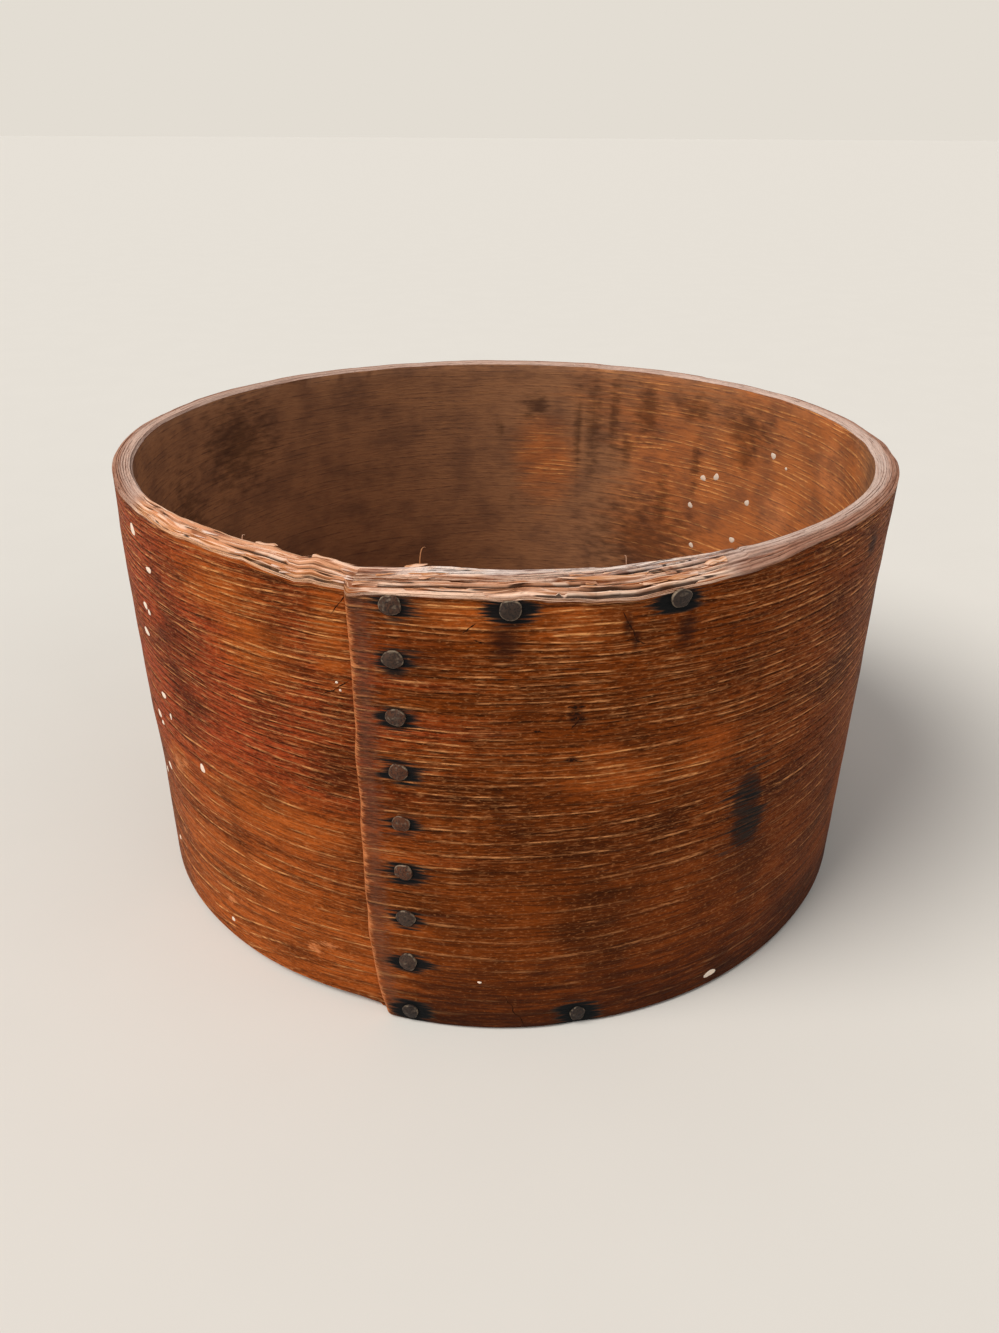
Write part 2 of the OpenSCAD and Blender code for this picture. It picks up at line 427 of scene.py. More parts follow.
def strip_rows():
    """Side of the section and share along that side for each row: up the outside, over the rim in
    lanes of fibre, down the inside and out along the bottom."""
    lanes = (np.arange(RIM_LANES)[:, None] + np.array(LANE_SHARES)).ravel() / RIM_LANES
    shares = [np.linspace(0, 1, OUTSIDE_ROWS, endpoint=False), lanes,
              np.linspace(0, 1, INSIDE_ROWS, endpoint=False), np.linspace(0, 1, BOTTOM_ROWS, endpoint=False)]
    side = np.concatenate([np.full(len(s), k) for k, s in zip((OUTSIDE, RIM, INSIDE, BOTTOM), shares)])
    return side, np.concatenate(shares)


def rim_lanes(along, lane, ragged):
    """Heights of the rim's lanes of fibre in metres, the splits between them and each length's tone.
    A lane is a run of lengths that stand a little higher or lower, with torn ends; a split opens and
    closes along a lane's edge, and two of the splits part the wood's layers nearly all the way."""
    draws = np.random.default_rng(SEED.lengths).random((2, LENGTH_COUNT, RIM_LANES))
    torn = value_noise(along / (1.6 * MM), lane * 5.1, SEED.torn)
    cell = np.floor(along / LENGTH_RUN + 3.7 * lane + 0.12 * torn).astype(int) % LENGTH_COUNT
    steps = (draws[0][cell, lane] - 0.6) * LANE_STEP * ragged
    swells = ripple(along / (30 * MM), lane * 2.9, SEED.swells, 0.4 * MM) * ragged
    waves = ripple(along / (3.4 * MM), lane * 3.3, SEED.waves, 0.22 * MM) * (0.3 + ragged)
    parted = 0.2 * np.isin(lane, PARTED_LANES)
    width = value_noise(along / (48 * MM), lane * 7.7, SEED.splits)
    opening = ease(0.36 - parted, 0.6 - parted, width) * ragged
    tone = LANE_TONES[lane] * (0.7 + 0.5 * draws[1][cell, lane])
    return steps + swells + waves, opening, tone


# Reach of the calm wood round a nail, and the dint that its head makes
NAIL_CALM = 4.5 * MM
NAIL_DINT = 0.15 * MM


def outer_hollow(turned, z, places):
    """How far the outside stands off true: long hollows and short ripples, which die away round each
    nail to the small dint that its head has made."""
    degrees = from_back(turned)
    hollow = ripple(degrees / 23, z / (33 * MM), SEED.hollows, 0.9 * MM)
    hollow = hollow + ripple(degrees / 7, z / (7 * MM), SEED.ripples, 0.22 * MM)
    calm = np.zeros(np.broadcast(turned, z).shape)
    for place in places.values():
        off_nail = np.hypot(wrapped(turned - place["turned"]) * place["crown_r"], z - place["z"])
        calm = np.maximum(calm, np.exp(-(off_nail / NAIL_CALM) ** 2))
    return hollow * (1 - calm) - NAIL_DINT * calm


def inner_hollow(turned, z):
    """How far the inside stands off true, fading out at the base board."""
    hollow = ripple(from_back(turned) / 21, z / (26 * MM), SEED.inside, 0.6 * MM)
    return hollow * ease(8 * MM, 20 * MM, z)


def rim_top(turned):
    """Height of the rim's inner part, with its wear and a ripple."""
    uneven = ripple(from_back(turned) / 4.5, 1.5, SEED.rim, 0.5 * MM)
    return MEASURE_H + by_angle(turned, RIM_RISE) + uneven


def worn_away(drop, depth, bevel):
    """How much of the rim is gone at a depth from the outside: a slightly hollow bevel."""
    return drop * np.clip(1 - depth / bevel, 0, 1) ** BEVEL_CURVE


# Ends of the strip: length over which the outer end's wear dies away and the curve of its worn corner;
# length over which the inside closes on the inner end, length over which that end thins, and the share
# of its thickness that is left at the tip; least thickness of the strip
END_BLEND = 22 * MM
CORNER_CURVE = 2.2
LAP_BLEND = 1.2 * MM
TIP_RUN = 3 * MM
TIP_SHARE = 0.35
LEAST_WALL = 0.3 * MM


def strip_angles(sizes, turn, low_z):
    """Angle of each point from the front: the seam's plus its turn. The outer end is a little wavy,
    stands past the seam and has lost its lower corner, which dies away along the strip."""
    wander = ripple(low_z / (7 * MM), 0.5, SEED.end, 0.7 * MM) - sizes.end_reach
    cut = sizes.corner_cut * np.clip(1 - low_z / sizes.corner_h, 0, 1) ** CORNER_CURVE
    end_fade = 1 - ease(0, END_BLEND, turn * sizes.outer_r)
    return sizes.seam_angle + turn + (cut + wander) / sizes.outer_r * end_fade


def strip_faces(sizes, turn, turned):
    """Radii of the hoop's outside and of the strip's outer and inner face. The outer lap starts with a
    rounded end and lies on the joint, then the strip lies on the inside, and past a whole turn it runs
    on under the joint and thins to its tip."""
    under = turn > FULL_TURN
    from_seam = turned - sizes.seam_angle
    from_seam = np.where(turn < QUARTER_TURN, np.maximum(from_seam, TINY), from_seam)
    outside = outside_radius(sizes, from_seam + sizes.seam_angle)
    joint = scarf_radius(sizes, turned)
    past_lap = ease(sizes.lap_angle, sizes.lap_angle + LAP_BLEND / sizes.outer_r, turn)
    inner_face = (joint + sizes.lap_gap / 2) * (1 - past_lap) + sizes.inner_r * past_lap
    outer_face = np.where(under, joint - sizes.lap_gap / 2, outside)
    end_arc = np.clip(1 - turn * sizes.outer_r / sizes.end_round, 0, 1)
    outer_face = outer_face - sizes.end_round * (1 - np.sqrt(1 - end_arc ** 2))
    from_tip = (FULL_TURN + sizes.lap_angle - turn) * sizes.outer_r
    thinned = TIP_SHARE + (1 - TIP_SHARE) * ease(0, TIP_RUN, from_tip)
    outer_face = np.where(under, inner_face + (outer_face - inner_face) * thinned, outer_face)
    return outside, np.maximum(outer_face, inner_face + LEAST_WALL), inner_face


def hoop_grid(sizes, places):
    """Points of the bent strip on a grid. A column is a section across the strip at one turn from
    the seam; a row is one line along it. Each point's angle is the seam's plus its turn, its radius
    lies between the strip's two faces there, and its height runs from the lower edge to the worn rim.
    Also returns what the fields and the grain map need of each point: its side of the section, turn,
    angle and place along the strip, its share across the wall, depth from the outside and height, the
    rim's top and drop there, the wall, and the splits and tone of the fibre."""
    turn = strip_turns(sizes)[:, None]
    side, share = (row[None, :] for row in strip_rows())
    sides = [side == OUTSIDE, side == RIM, side == INSIDE]
    under = turn > FULL_TURN
    turned = strip_angles(sizes, turn, np.select(sides, [share, 1, 1 - share], 0) * MEASURE_H)
    along = (sizes.seam_angle + turn) * sizes.outer_r + 0 * share
    outside, outer_face, inner_face = strip_faces(sizes, turn, turned)
    wall = outer_face - inner_face
    # Place across the wall, where the rim's rows drift with their lanes of fibre
    lane = np.minimum(np.floor(share * RIM_LANES + TINY).astype(int), RIM_LANES - 1) + 0 * turn.astype(int)
    drift = ripple(along / (38 * MM), lane * 0.31, SEED.drift, LANE_DRIFT / RIM_LANES)
    over_rim = np.clip(share + drift * np.sin(math.pi * share), 0, 1)
    across = np.select(sides, [0, over_rim, 1], 1 - share)
    depth = outside - (outer_face - wall * across)
    # The rim: a worn bevel from the outside, broken into lanes of fibre
    top = rim_top(turned)
    ragged = by_angle(turned, RIM_RAGGED) / MM
    drop = by_angle(turned, RIM_DROP) + ripple(along / (5 * MM), 2.5, SEED.jags, JAG_H) * ragged
    bevel = by_angle(turned, RIM_BEVEL)
    lane_depth = outside - (outer_face - wall * (lane + 0.5) / RIM_LANES)
    tread = depth + (lane_depth - depth) * LANE_LEVEL * ragged
    offset, opening, tone = rim_lanes(along, lane, ragged)
    at_split = np.isclose(np.mod(share * RIM_LANES, 1), 0, atol=TINY) & (side == RIM) & (share > 0)
    split = at_split * opening
    inner_round = INNER_ROUND_H * np.clip(1 - wall * (1 - across) / INNER_ROUND_W, 0, 1) ** 2
    settle = ease(0, 0.12, share) * (1 - 0.5 * ease(0.9, 1, share))
    rim_z = top - worn_away(drop, tread, bevel) - inner_round + offset * settle - split * SPLIT_DEPTH
    edge_z = top - worn_away(drop, outside - outer_face, bevel)
    inner_top = top - INNER_ROUND_H - worn_away(drop, outside - inner_face, bevel)
    # The lower edge, a little lifted at the left of the seam
    lift = np.where(under, 0, by_angle(turned, FOOT_LIFT))
    foot = lift + sizes.edge_round
    nearest_edge = np.minimum(wall * across, wall - wall * across)
    bottom_z = lift + sizes.edge_round * np.clip(1 - nearest_edge / sizes.edge_round, 0, 1) ** 2
    heights = [foot + (edge_z - foot) * share, rim_z, inner_top + (foot - inner_top) * share]
    z = np.select(sides, heights, bottom_z)
    # Faces that aren't quite true: long hollows outside, shorter ones inside
    hollow = outer_hollow(turned, z, places) * np.where(under | (side == INSIDE), 0, 1 - across)
    dip = np.where(side == INSIDE, inner_hollow(turned, z), 0) * ease(0, 0.08, share)
    points = on_wall(turned, outer_face - wall * across + hollow + dip, z)
    return points, dict(side=side + 0 * turn, turn=turn + 0 * share, turned=wrapped(turned), along=along,
                        across=across, depth=depth, z=z, top=top, drop=drop, wall=wall, split=split,
                        tone=tone)


# Radii at which lengths along the hoop are measured: of a mark on it, and of the bent strip
MARK_R = 114.5 * MM
STRIP_R = 114 * MM


def soft_spots(turned, z, spots):
    """A field that is 1 at the middle of each spot and 0 at its rim: 1 less the distance from the
    spot's middle in shares of its half-lengths along the hoop and up it. A spot is degrees from the
    front, height, half-length and half-height in millimetres."""
    field = np.full(z.shape, -1.0)
    for degrees, height, half_along, half_up in spots:
        x = wrapped(turned - math.radians(degrees)) * MARK_R / (half_along * MM)
        y = (z - height * MM) / (half_up * MM)
        field = np.maximum(field, 1 - np.hypot(x, y))
    return field


# Marks on the wood, and painted light and shade on it: degrees from the front, height, half-length and
# half-height in millimetres
DARK_SPOTS = [(8.1, 95.5, 2.8, 3.6), (7.8, 83.9, 2.4, 1.6), (0.2, 114, 5, 7), (20.4, 114, 3.4, 5.5),
              (13.4, 117, 1.5, 3.2), (14.4, 113, 1.4, 2.6), (55, 118, 5, 4)]
# Painted shade: broad soft patches, darkened with the pore colour, where the wood lies in less light
SHADE_SPOTS = [(-46, 91, 20, 16), (-22, 77, 11, 14), (8, 56, 44, 18), (46, 54, 36, 24),
               (50.5, 31, 24, 13), (14, 34, 24, 16), (52, 92, 14, 22), (34, 40, 20, 20)]
BLOTCHES = [(32.9, 61.5, 5.8, 9.5), (33.6, 52, 6.2, 8)]
# Old stains inside; the wide soft spot at 146 degrees, 58 mm is painted shade
INNER_DARK_SPOTS = [(160, 106, 4.5, 26), (155.5, 108, 3, 22), (163.5, 100, 2.4, 24), (148, 112, 7, 14),
                    (124, 114, 16, 9), (137, 117, 12, 6), (143.5, 74, 5, 20), (152.5, 96, 4, 10),
                    (-179.4, 101, 2.6, 4.4), (178, 70.6, 2.4, 3.4), (173, 111, 8, 6),
                    (-118, 110, 22, 18), (136, 96, 3, 12), (124, 106, 9, 9), (146, 58, 30, 26),
                    (-100, 80, 14, 30)]
# Painted light inside: warm where the wall faces the key light, and two brighter painted highlights
INNER_LIT_SPOTS = [(118, 92, 62, 50), (100, 60, 56, 60), (40, 70, 60, 50), (169, 87, 13, 14)]
INNER_HIGHLIGHT_SPOTS = [(98, 112, 22, 18), (114, 88, 17, 14)]
# Golden zones of the oil; the spot at -53 degrees, 51 mm is a painted sheen
GOLD_SPOTS = [(-38, 20, 44, 32), (-20, 16, 16, 22), (-30, 54, 34, 10), (-53, 51, 8, 7), (13, 80, 12, 7),
              (-5, 120, 11, 5), (-20, 112, 6, 14), (9, 119, 12, 5), (-36, 116, 20, 8),
              (-31, 103, 13, 11), (26, 80, 10, 8), (110, 60, 50, 40), (-140, 40, 60, 35)]
RED_SPOTS = [(-46, 92, 62, 52), (150, 90, 60, 40)]
# Rubbed spots; the two at -54 and -51 degrees are a painted glossy highlight
RUBBED_AND_SHEEN_SPOTS = [(-54, 51.5, 3.6, 3.0), (-51, 54.5, 2.4, 1.6), (-43, 16, 2.6, 1.6), (-40, 19, 3.4, 1.0),
                (-26.5, 15, 2.6, 2.6), (-24, 17.5, 3.4, 1.2), (-57, 24, 4, 1.4)]
SMOOTH_SPOTS = [(8, 18, 50, 40), (40, 16, 60, 42), (60, 20, 30, 50)]
# How dirty and how black the blotches are, and how bright the painted highlight inside is
BLOTCH_DIRT = 2.2
BLOTCH_BLACK = 0.42
INNER_HIGHLIGHT_LEVEL = 3.0
# Blackened wood round a nail or a kind of nail: half-length, half-height and how black
STAINS = {"rim_nail_1": (6.0, 3.9, 1.2), "rim_nail_2": (8.2, 4.2, 2.0), "rim_nail_3": (6.4, 3.7, 2.0),
          "lap": (6.0, 3.8, 1.4), "base": (6.8, 4.8, 1.7)}
# How far a stain sags below its nail, and a tail of stain beside the lowest lap nail: degrees and height
# from the nail, half-length and half-height
STAIN_SAG = 0.3
STAIN_TAIL = (1.9, -0.8, 6.5, 1.7)


def nail_places():
    """Angle, height and crown radius of every nail head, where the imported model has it: the point of
    the nail that lies furthest from the axis. Also the nail's innermost reach and its lowest point."""
    places = {}
    for node in NAIL_NODES:
        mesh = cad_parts[node].data
        points = np.empty(len(mesh.vertices) * 3, np.float32)
        mesh.vertices.foreach_get("co", points)
        points = points.reshape(-1, 3)
        crown = points[np.hypot(points[:, 0], points[:, 1]).argmax()]
        turned = math.atan2(crown[0], -crown[1])
        inmost = (points[:, :2] @ heading(turned)).min()
        places[node] = dict(turned=turned, z=float(crown[2]), crown_r=float(np.hypot(crown[0], crown[1])),
                            inner_r=float(inmost), low_z=float(points[:, 2].min()))
    return places


def iron_field(turned, z, places):
    """Blackened wood: the soft spot of each nail, drawn out along the grain and times how black it is,
    the tail beside the lowest nail of the lap, and the blotches."""
    field = BLOTCH_BLACK * soft_spots(turned, z, BLOTCHES)
    for order, (node, place) in enumerate(places.items()):
        draw = np.random.default_rng(SEED.stain + order)
        half_along, half_up, black = STAINS.get(node) or STAINS[node.split("_")[0]]
        size = draw.uniform(0.88, 1.12)
        degrees = math.degrees(place["turned"]) + draw.uniform(-0.3, 0.5)
        spot = (degrees, place["z"] / MM - STAIN_SAG, half_along * size, half_up * size)
        field = np.maximum(field, black * soft_spots(turned, z, [spot]))
    low_nail = places["lap_nail_1"]
    aside, above, half_along, half_up = STAIN_TAIL
    tail = (math.degrees(low_nail["turned"]) + aside, low_nail["z"] / MM + above, half_along, half_up)
    return np.maximum(field, soft_spots(turned, z, [tail]))


# The arched grain: its place before the seam and up the hoop, its reach and how far it lifts the lines
ARCH_TURN = math.radians(3)
ARCH_Z = 4 * MM
ARCH_HALF_ALONG = 44 * MM
ARCH_HALF_UP = 24 * MM
ARCH_RISE = 18 * MM
# Spacing of the growth lines by height, in millimetres, the closest spacing, and the steps of their count
RING_SPACING = [(-20, 5.2), (25, 5.0), (50, 4.4), (67, 3.8), (84, 1.75), (150, 1.6)]
CLOSEST_RING = 1.6 * MM
RING_SAMPLES = 700


def grain_arch(shape):
    """How far the growth lines are lifted low on the left of the seam: a bell along the strip times a
    bell up it."""
    off_x = (shape["turn"] - FULL_TURN + ARCH_TURN) * STRIP_R / ARCH_HALF_ALONG
    off_z = (shape["z"] - ARCH_Z) / ARCH_HALF_UP
    return ARCH_RISE * np.exp(-off_x ** 2 - off_z ** 2)


def grain_fields(shape):
    """The count of growth lines up the hoop, and their pace: the closest spacing over the spacing at
    that height. Both follow the lifted grain."""
    grain_z = shape["z"] - grain_arch(shape)
    ring_z = np.linspace(RING_SPACING[0][0], RING_SPACING[-1][0], RING_SAMPLES) * MM
    count = np.cumsum((ring_z[1] - ring_z[0]) / by_height(ring_z, RING_SPACING))
    pace = CLOSEST_RING / by_height(grain_z, RING_SPACING)
    return {"rings": np.interp(grain_z, ring_z, count), "pace": pace}


# How steeply bare wood fades in above its edge, and how far the rim's inner part reaches from the inside
BARE_SLOPE = 0.8 / MM
GREY_FULL = 2.4 * MM
GREY_NONE = 4.0 * MM


def rim_fields(sizes, shape):
    """Fields of the worn rim. Bare wood crosses 0 at its edge: below the rim outside, and in chips along
    it inside. Away from the front the rim is handled: dull, and rounded towards the outside. Its inner
    part is grey, most of all to the right of the seam. Splits and tone are those of its fibre."""
    turned, z, side = shape["turned"], shape["z"], shape["side"]
    off_front = np.maximum(between(turned, 23, 29), between(turned, -50, -66))
    bare_outside = BARE_SLOPE * (z - shape["top"] + shape["drop"]) - 0.5 * off_front
    chips = value_noise(shape["along"] / (13 * MM), 4.5, SEED.chips) * 3.4 - 1.9
    bare_inside = BARE_SLOPE * (z - shape["top"]) + chips
    bare = np.select([side == OUTSIDE, side == RIM, side == INSIDE], [bare_outside, 1, bare_inside], -1)
    from_inside = outside_radius(sizes, turned) - sizes.inner_r - shape["depth"]
    inner_part = 1 - ease(GREY_FULL, GREY_NONE, from_inside)
    right = between(turned, -17, -8) * (1 - between(turned, 126.05, 166.16))
    rounded = off_front * (1 - ease(0.15, 0.6, shape["across"]))
    on_rim = {"dull": off_front, "rounded": rounded, "grey": inner_part * (0.12 + 0.88 * right)}
    fields = {name: np.where(side == RIM, values, 0) for name, values in on_rim.items()}
    return fields | {"bare": bare, "split": shape["split"], "tone": shape["tone"]}


# The rubbed foot and the painted shade low on the right half, by height, and the dirt along the lap, by its
# distance from the strip's end and its half-width
RUBBED_FOOT = 2.2 * MM
FOOT_SHADE = 38 * MM
LAP_DIRT = 3.2 * MM
LAP_DIRT_HALF = 4.4 * MM


def stain_fields(shape, places):
    """Fields of oil, rubbing, dirt, painted light and shade, and iron. Rubbed, grime and iron cross 0 at the
    edges of their marks: rubbed along the strip's end, its foot and in spots, where the end and two spots
    are also painted highlights; grime in spots, one of them painted shade inside, and as painted shade low
    on the right half; iron round the nails. Gold and red are zones of the oil, with one spot of painted
    sheen, or painted light on the inside wall and golden fibre on the rim."""
    turned, z, side = shape["turned"], shape["z"], shape["side"]
    from_end = shape["turn"] * STRIP_R
    # The worn end of the outer lap, painted bright as a highlight where its rounded edge faces the light
    end_wear_and_highlight = 1 - from_end / ((0.8 + 1.6 * value_noise(z / (5 * MM), 0.5, SEED.rubbed)) * MM)
    low_edge = between(turned, -12, -24) * between(turned, -100, -60)
    rubbed_foot = (1 - z / RUBBED_FOOT) * low_edge - (1 - low_edge)
    rubbed = np.maximum.reduce([end_wear_and_highlight, rubbed_foot, soft_spots(turned, z, RUBBED_AND_SHEEN_SPOTS)])
    # Painted shade: the right half darkens towards its foot, where less light reaches
    foot_shade = (0.72 - z / FOOT_SHADE) * between(turned, -20, -8) * between(turned, 170, 120)
    blotches = BLOTCH_DIRT * soft_spots(turned, z, BLOTCHES)
    grime = np.maximum.reduce([soft_spots(turned, z, DARK_SPOTS), foot_shade, blotches])
    # Painted light on the inside wall, with brighter painted highlights
    lit_spots = soft_spots(turned, z, INNER_LIT_SPOTS)
    inner_light = np.maximum(lit_spots, INNER_HIGHLIGHT_LEVEL * soft_spots(turned, z, INNER_HIGHLIGHT_SPOTS))
    left_rim = between(turned, -13, -19) * between(turned, -66, -52)
    gold = soft_spots(turned, z, GOLD_SPOTS)
    return {
        # Rubbed wear, and painted highlights at the strip's end and in two spots
        "rubbed": np.where(side == OUTSIDE, rubbed, -1),
        "grime": np.where(side == INSIDE, soft_spots(turned, z, INNER_DARK_SPOTS), grime),
        "lap_dirt": 0.9 - np.abs(from_end - LAP_DIRT) / LAP_DIRT_HALF,
        "iron": iron_field(turned, z, places),
        "gold": np.select([side == RIM, side == INSIDE], [1.8 * left_rim - 0.9, inner_light], gold),
        "red": soft_spots(turned, z, RED_SPOTS),
        "smooth": soft_spots(turned, z, SMOOTH_SPOTS),
        "shade": soft_spots(turned, z, SHADE_SPOTS),
    }


def hoop_grain(shape):
    """Grain map in metres: along the strip, and round its section from the lower outer edge."""
    z, wall, across, side = (shape[name] for name in ("z", "wall", "across", "side"))
    round_section = np.select([side == OUTSIDE, side == RIM, side == INSIDE],
                              [z, MEASURE_H + wall * across, MEASURE_H + wall + (MEASURE_H - z)],
                              2 * MEASURE_H + wall + wall * (1 - across))
    closing = 2 * MEASURE_H + 2 * wall[:, -1:]
    round_section = np.concatenate([round_section, closing], 1)
    along = np.concatenate([shape["along"], shape["along"][:, :1]], 1)
    return np.stack([along, round_section], -1)


def make_hoop(sizes, places, materials):
    """Builds the hoop: the strip's grid closed round its section, with a face over each end. The second
    material is on the faces of the inside."""
    points, shape = hoop_grid(sizes, places)
    columns, rows = points.shape[:2]
    corners = grid_faces(columns, rows, close_rows=True)
    index = corners[..., 0] * rows + corners[..., 1] % rows
    first_end = np.arange(rows)[::-1]
    last_end = (columns - 1) * rows + np.arange(rows)
    faces = index.tolist() + [first_end.tolist(), last_end.tolist()]
    grain = hoop_grain(shape)
    face_grain = grain[corners[..., 0], corners[..., 1]].reshape(-1, 2)
    point_grain = grain[:, :-1].reshape(-1, 2)
    corner_grain = np.concatenate([face_grain, point_grain[first_end], point_grain[last_end]])
    fields = rim_fields(sizes, shape) | stain_fields(shape, places) | grain_fields(shape)
    piece = build_mesh("bent_hoop", points, faces, fields, corner_grain, sharp=40)
    inside_row = strip_rows()[0] == INSIDE
    per_face = np.concatenate([inside_row[corners[:, 0, 1]], [False, False]])
    place_piece(piece, materials, ["hoop"])
    piece.data.polygons.foreach_set("material_index", per_face.astype(np.int32))
    return piece


# Forged nails: how wide and how high each head is, in shares of the usual head, and how brown its rust,
# or where that is less than 0 how black it is
PLAIN_HEAD = (1.0, 0.95, 0.5)
HEADS = {"rim_nail_1": (1.04, 0.95, 0.4), "rim_nail_2": (1.0, 0.95, -0.5), "rim_nail_3": (1.02, 0.9, -0.6),
         "lap_nail_7": (1.0, 0.88, 0.2), "lap_nail_6": (1.02, 0.84, 0.45), "lap_nail_5": (0.96, 0.88, 0.7),
         "lap_nail_4": (0.94, 0.88, 0.8), "lap_nail_3": (0.98, 0.94, 0.75),
         "lap_nail_2": (1.06, 1.02, 0.0), "lap_nail_1": (0.95, 1.1, 0.1),
         "base_nail_1": (0.88, 0.94, -0.7), "base_nail_2": (0.84, 0.92, -0.7)}
# Rings of a hammered crown with a burred edge: depth in shares of the dome, radius in shares of the head
CROWN = [(0.0, 0.0), (0.03, 0.2), (0.12, 0.42), (0.28, 0.62), (0.5, 0.79), (0.6, 0.88), (0.62, 0.95),
         (0.85, 1.0)]
# A nail whose tail hangs lower than this share of its head is clinched; the bend clears the shank by a gap
CLINCH_SHARE = 0.75
BEND_GAP = 0.1 * MM
# Hammered heads: the waves of an outline and their least and most, the lean, the dents and their depth
OUTLINE_WAVES = (3, 4, 5)
WAVE_SPAN = (0.01, 0.032)
LEAN_SPAN = (-0.1, 0.1)
DENT_H = 0.5 * MM
HAMMERED = 1.3 * MM
# The burred edge, rubbed bright and painted as a highlight, and how wide it is, in shares of the head
EDGE_SHARE = 0.985
EDGE_WIDTH = 0.035


def nail_rings(sizes):
    """Depth from the crown and radius of each ring of a nail's head: the crown, the burred edge and the
    flat underside, in to the shank."""
    head_r = sizes.head_d / 2
    dome, edge = sizes.head_dome, sizes.head_edge
    rings = [(dome * depth, head_r * radius) for depth, radius in CROWN]
    rings += [(dome + 0.6 * edge, head_r * 1.01), (dome + edge, head_r * 0.93)]
    return np.array(rings + [(dome + edge, sizes.shank_d / 2)])


def nail_path(sizes, place):
    """Depth from the crown, sag, tilt and radius of each ring down a nail: its head, then straight in to
    the point, or for a clinched nail round a quarter circle and down the inside to it."""
    head = nail_rings(sizes)
    shank_r = sizes.shank_d / 2
    reach_in = place["crown_r"] - place["inner_r"]
    fall = place["z"] - place["low_z"]
    if fall > sizes.head_d * CLINCH_SHARE:
        bend_r = shank_r + BEND_GAP
        straight = reach_in - shank_r - bend_r
        bend = np.linspace(0, 1, 7) * QUARTER_TURN
        tail = np.array([0.3, 0.55, 0.85, 1.0])
        hanging = np.ones(len(tail))
        turning = straight + bend_r * np.sin(bend)
        depth = np.concatenate([[straight * 0.5], turning, (straight + bend_r) * hanging])
        sag = np.concatenate([[0], bend_r * (1 - np.cos(bend)), bend_r + (fall - bend_r) * tail])
        tilt = np.concatenate([[0], bend, QUARTER_TURN * hanging])
        radius = shank_r * np.concatenate([np.ones(1 + len(bend)), [1, 0.9, 0.4, 0.0]])
    else:
        depth = reach_in * np.array([0.3, 0.6, 1 - sizes.tip_len / reach_in, 0.97, 1])
        sag = 0 * depth
        tilt = 0 * depth
        radius = shank_r * np.array([1, 1, 1, 0.3, 0])
    level = np.zeros(len(head))
    pairs = [(head[:, 0], depth), (level, sag), (level, tilt), (head[:, 1], radius)]
    return [np.concatenate(pair) for pair in pairs]


def make_nail(sizes, node, place, order, material):
    """Builds one nail as rings carried along its path. The head's outline is a circle with a few small
    waves, and its crown is tilted and dented by the hammer."""
    draw = np.random.default_rng(SEED.outline + order)
    depth, sag, tilt, radius = (values[:, None] for values in nail_path(sizes, place))
    on_head = (np.arange(len(depth)) < len(nail_rings(sizes)) - 1)[:, None]
    theta = np.linspace(0, FULL_TURN, sizes.sectors, endpoint=False)[None, :]
    wide, high, rust = HEADS.get(node, PLAIN_HEAD)
    waves = sum(draw.uniform(*WAVE_SPAN) * np.cos(k * theta + draw.uniform(0, FULL_TURN))
                for k in OUTLINE_WAVES)
    outline = np.hypot(wide * np.cos(theta), high * np.sin(theta)) + waves
    ring = radius * np.where(on_head, outline, 1)
    share = radius / (sizes.head_d / 2)
    lean = draw.uniform(*LEAN_SPAN, 2)
    blow_x, blow_y = (9 + 2.4 * share * turn(theta) for turn in (np.cos, np.sin))
    dents = ripple(blow_x, blow_y, SEED.dents + order, DENT_H)
    lift = (lean[0] * np.cos(theta) + lean[1] * np.sin(theta)) * share * sizes.head_d / 2 + dents
    lift = np.where(on_head, lift * np.clip(1 - depth / HAMMERED, 0, 1), 0)
    into = np.append(-heading(place["turned"]), 0)
    up = np.array([0.0, 0.0, 1.0])
    start = np.append(heading(place["turned"]) * place["crown_r"], place["z"])
    centre = start + depth * into - sag * up
    ring_up = np.cos(tilt) * up + np.sin(tilt) * into
    ring_out = -np.cos(tilt) * into + np.sin(tilt) * up
    around = (np.cos(theta)[..., None] * sideways(place["turned"])
              + np.sin(theta)[..., None] * ring_up[:, None])
    points = centre[:, None] + ring[..., None] * around + lift[..., None] * ring_out[:, None]
    # The burred edge: rubbed, and painted bright as a highlight
    edge = np.exp(-((share - EDGE_SHARE) / EDGE_WIDTH) ** 2) * on_head
    fields = {"rubbed": edge + 0 * theta, "rust": np.full(ring.shape, rust)}
    piece = build_mesh(f"forged_{node}", points, ring_faces(1, *ring.shape).tolist(), fields, sharp=50)
    merge_poles(piece)
    place_piece(piece, [material], [node])
    return piece


# Base board: rounding of its edges, how far its top is cupped, and height of its planed ridges
BOARD_EDGE = 0.8 * MM
BOARD_CUP = 0.5 * MM
PLANED_H = 0.5 * MM
BOARD_SECTORS = 160


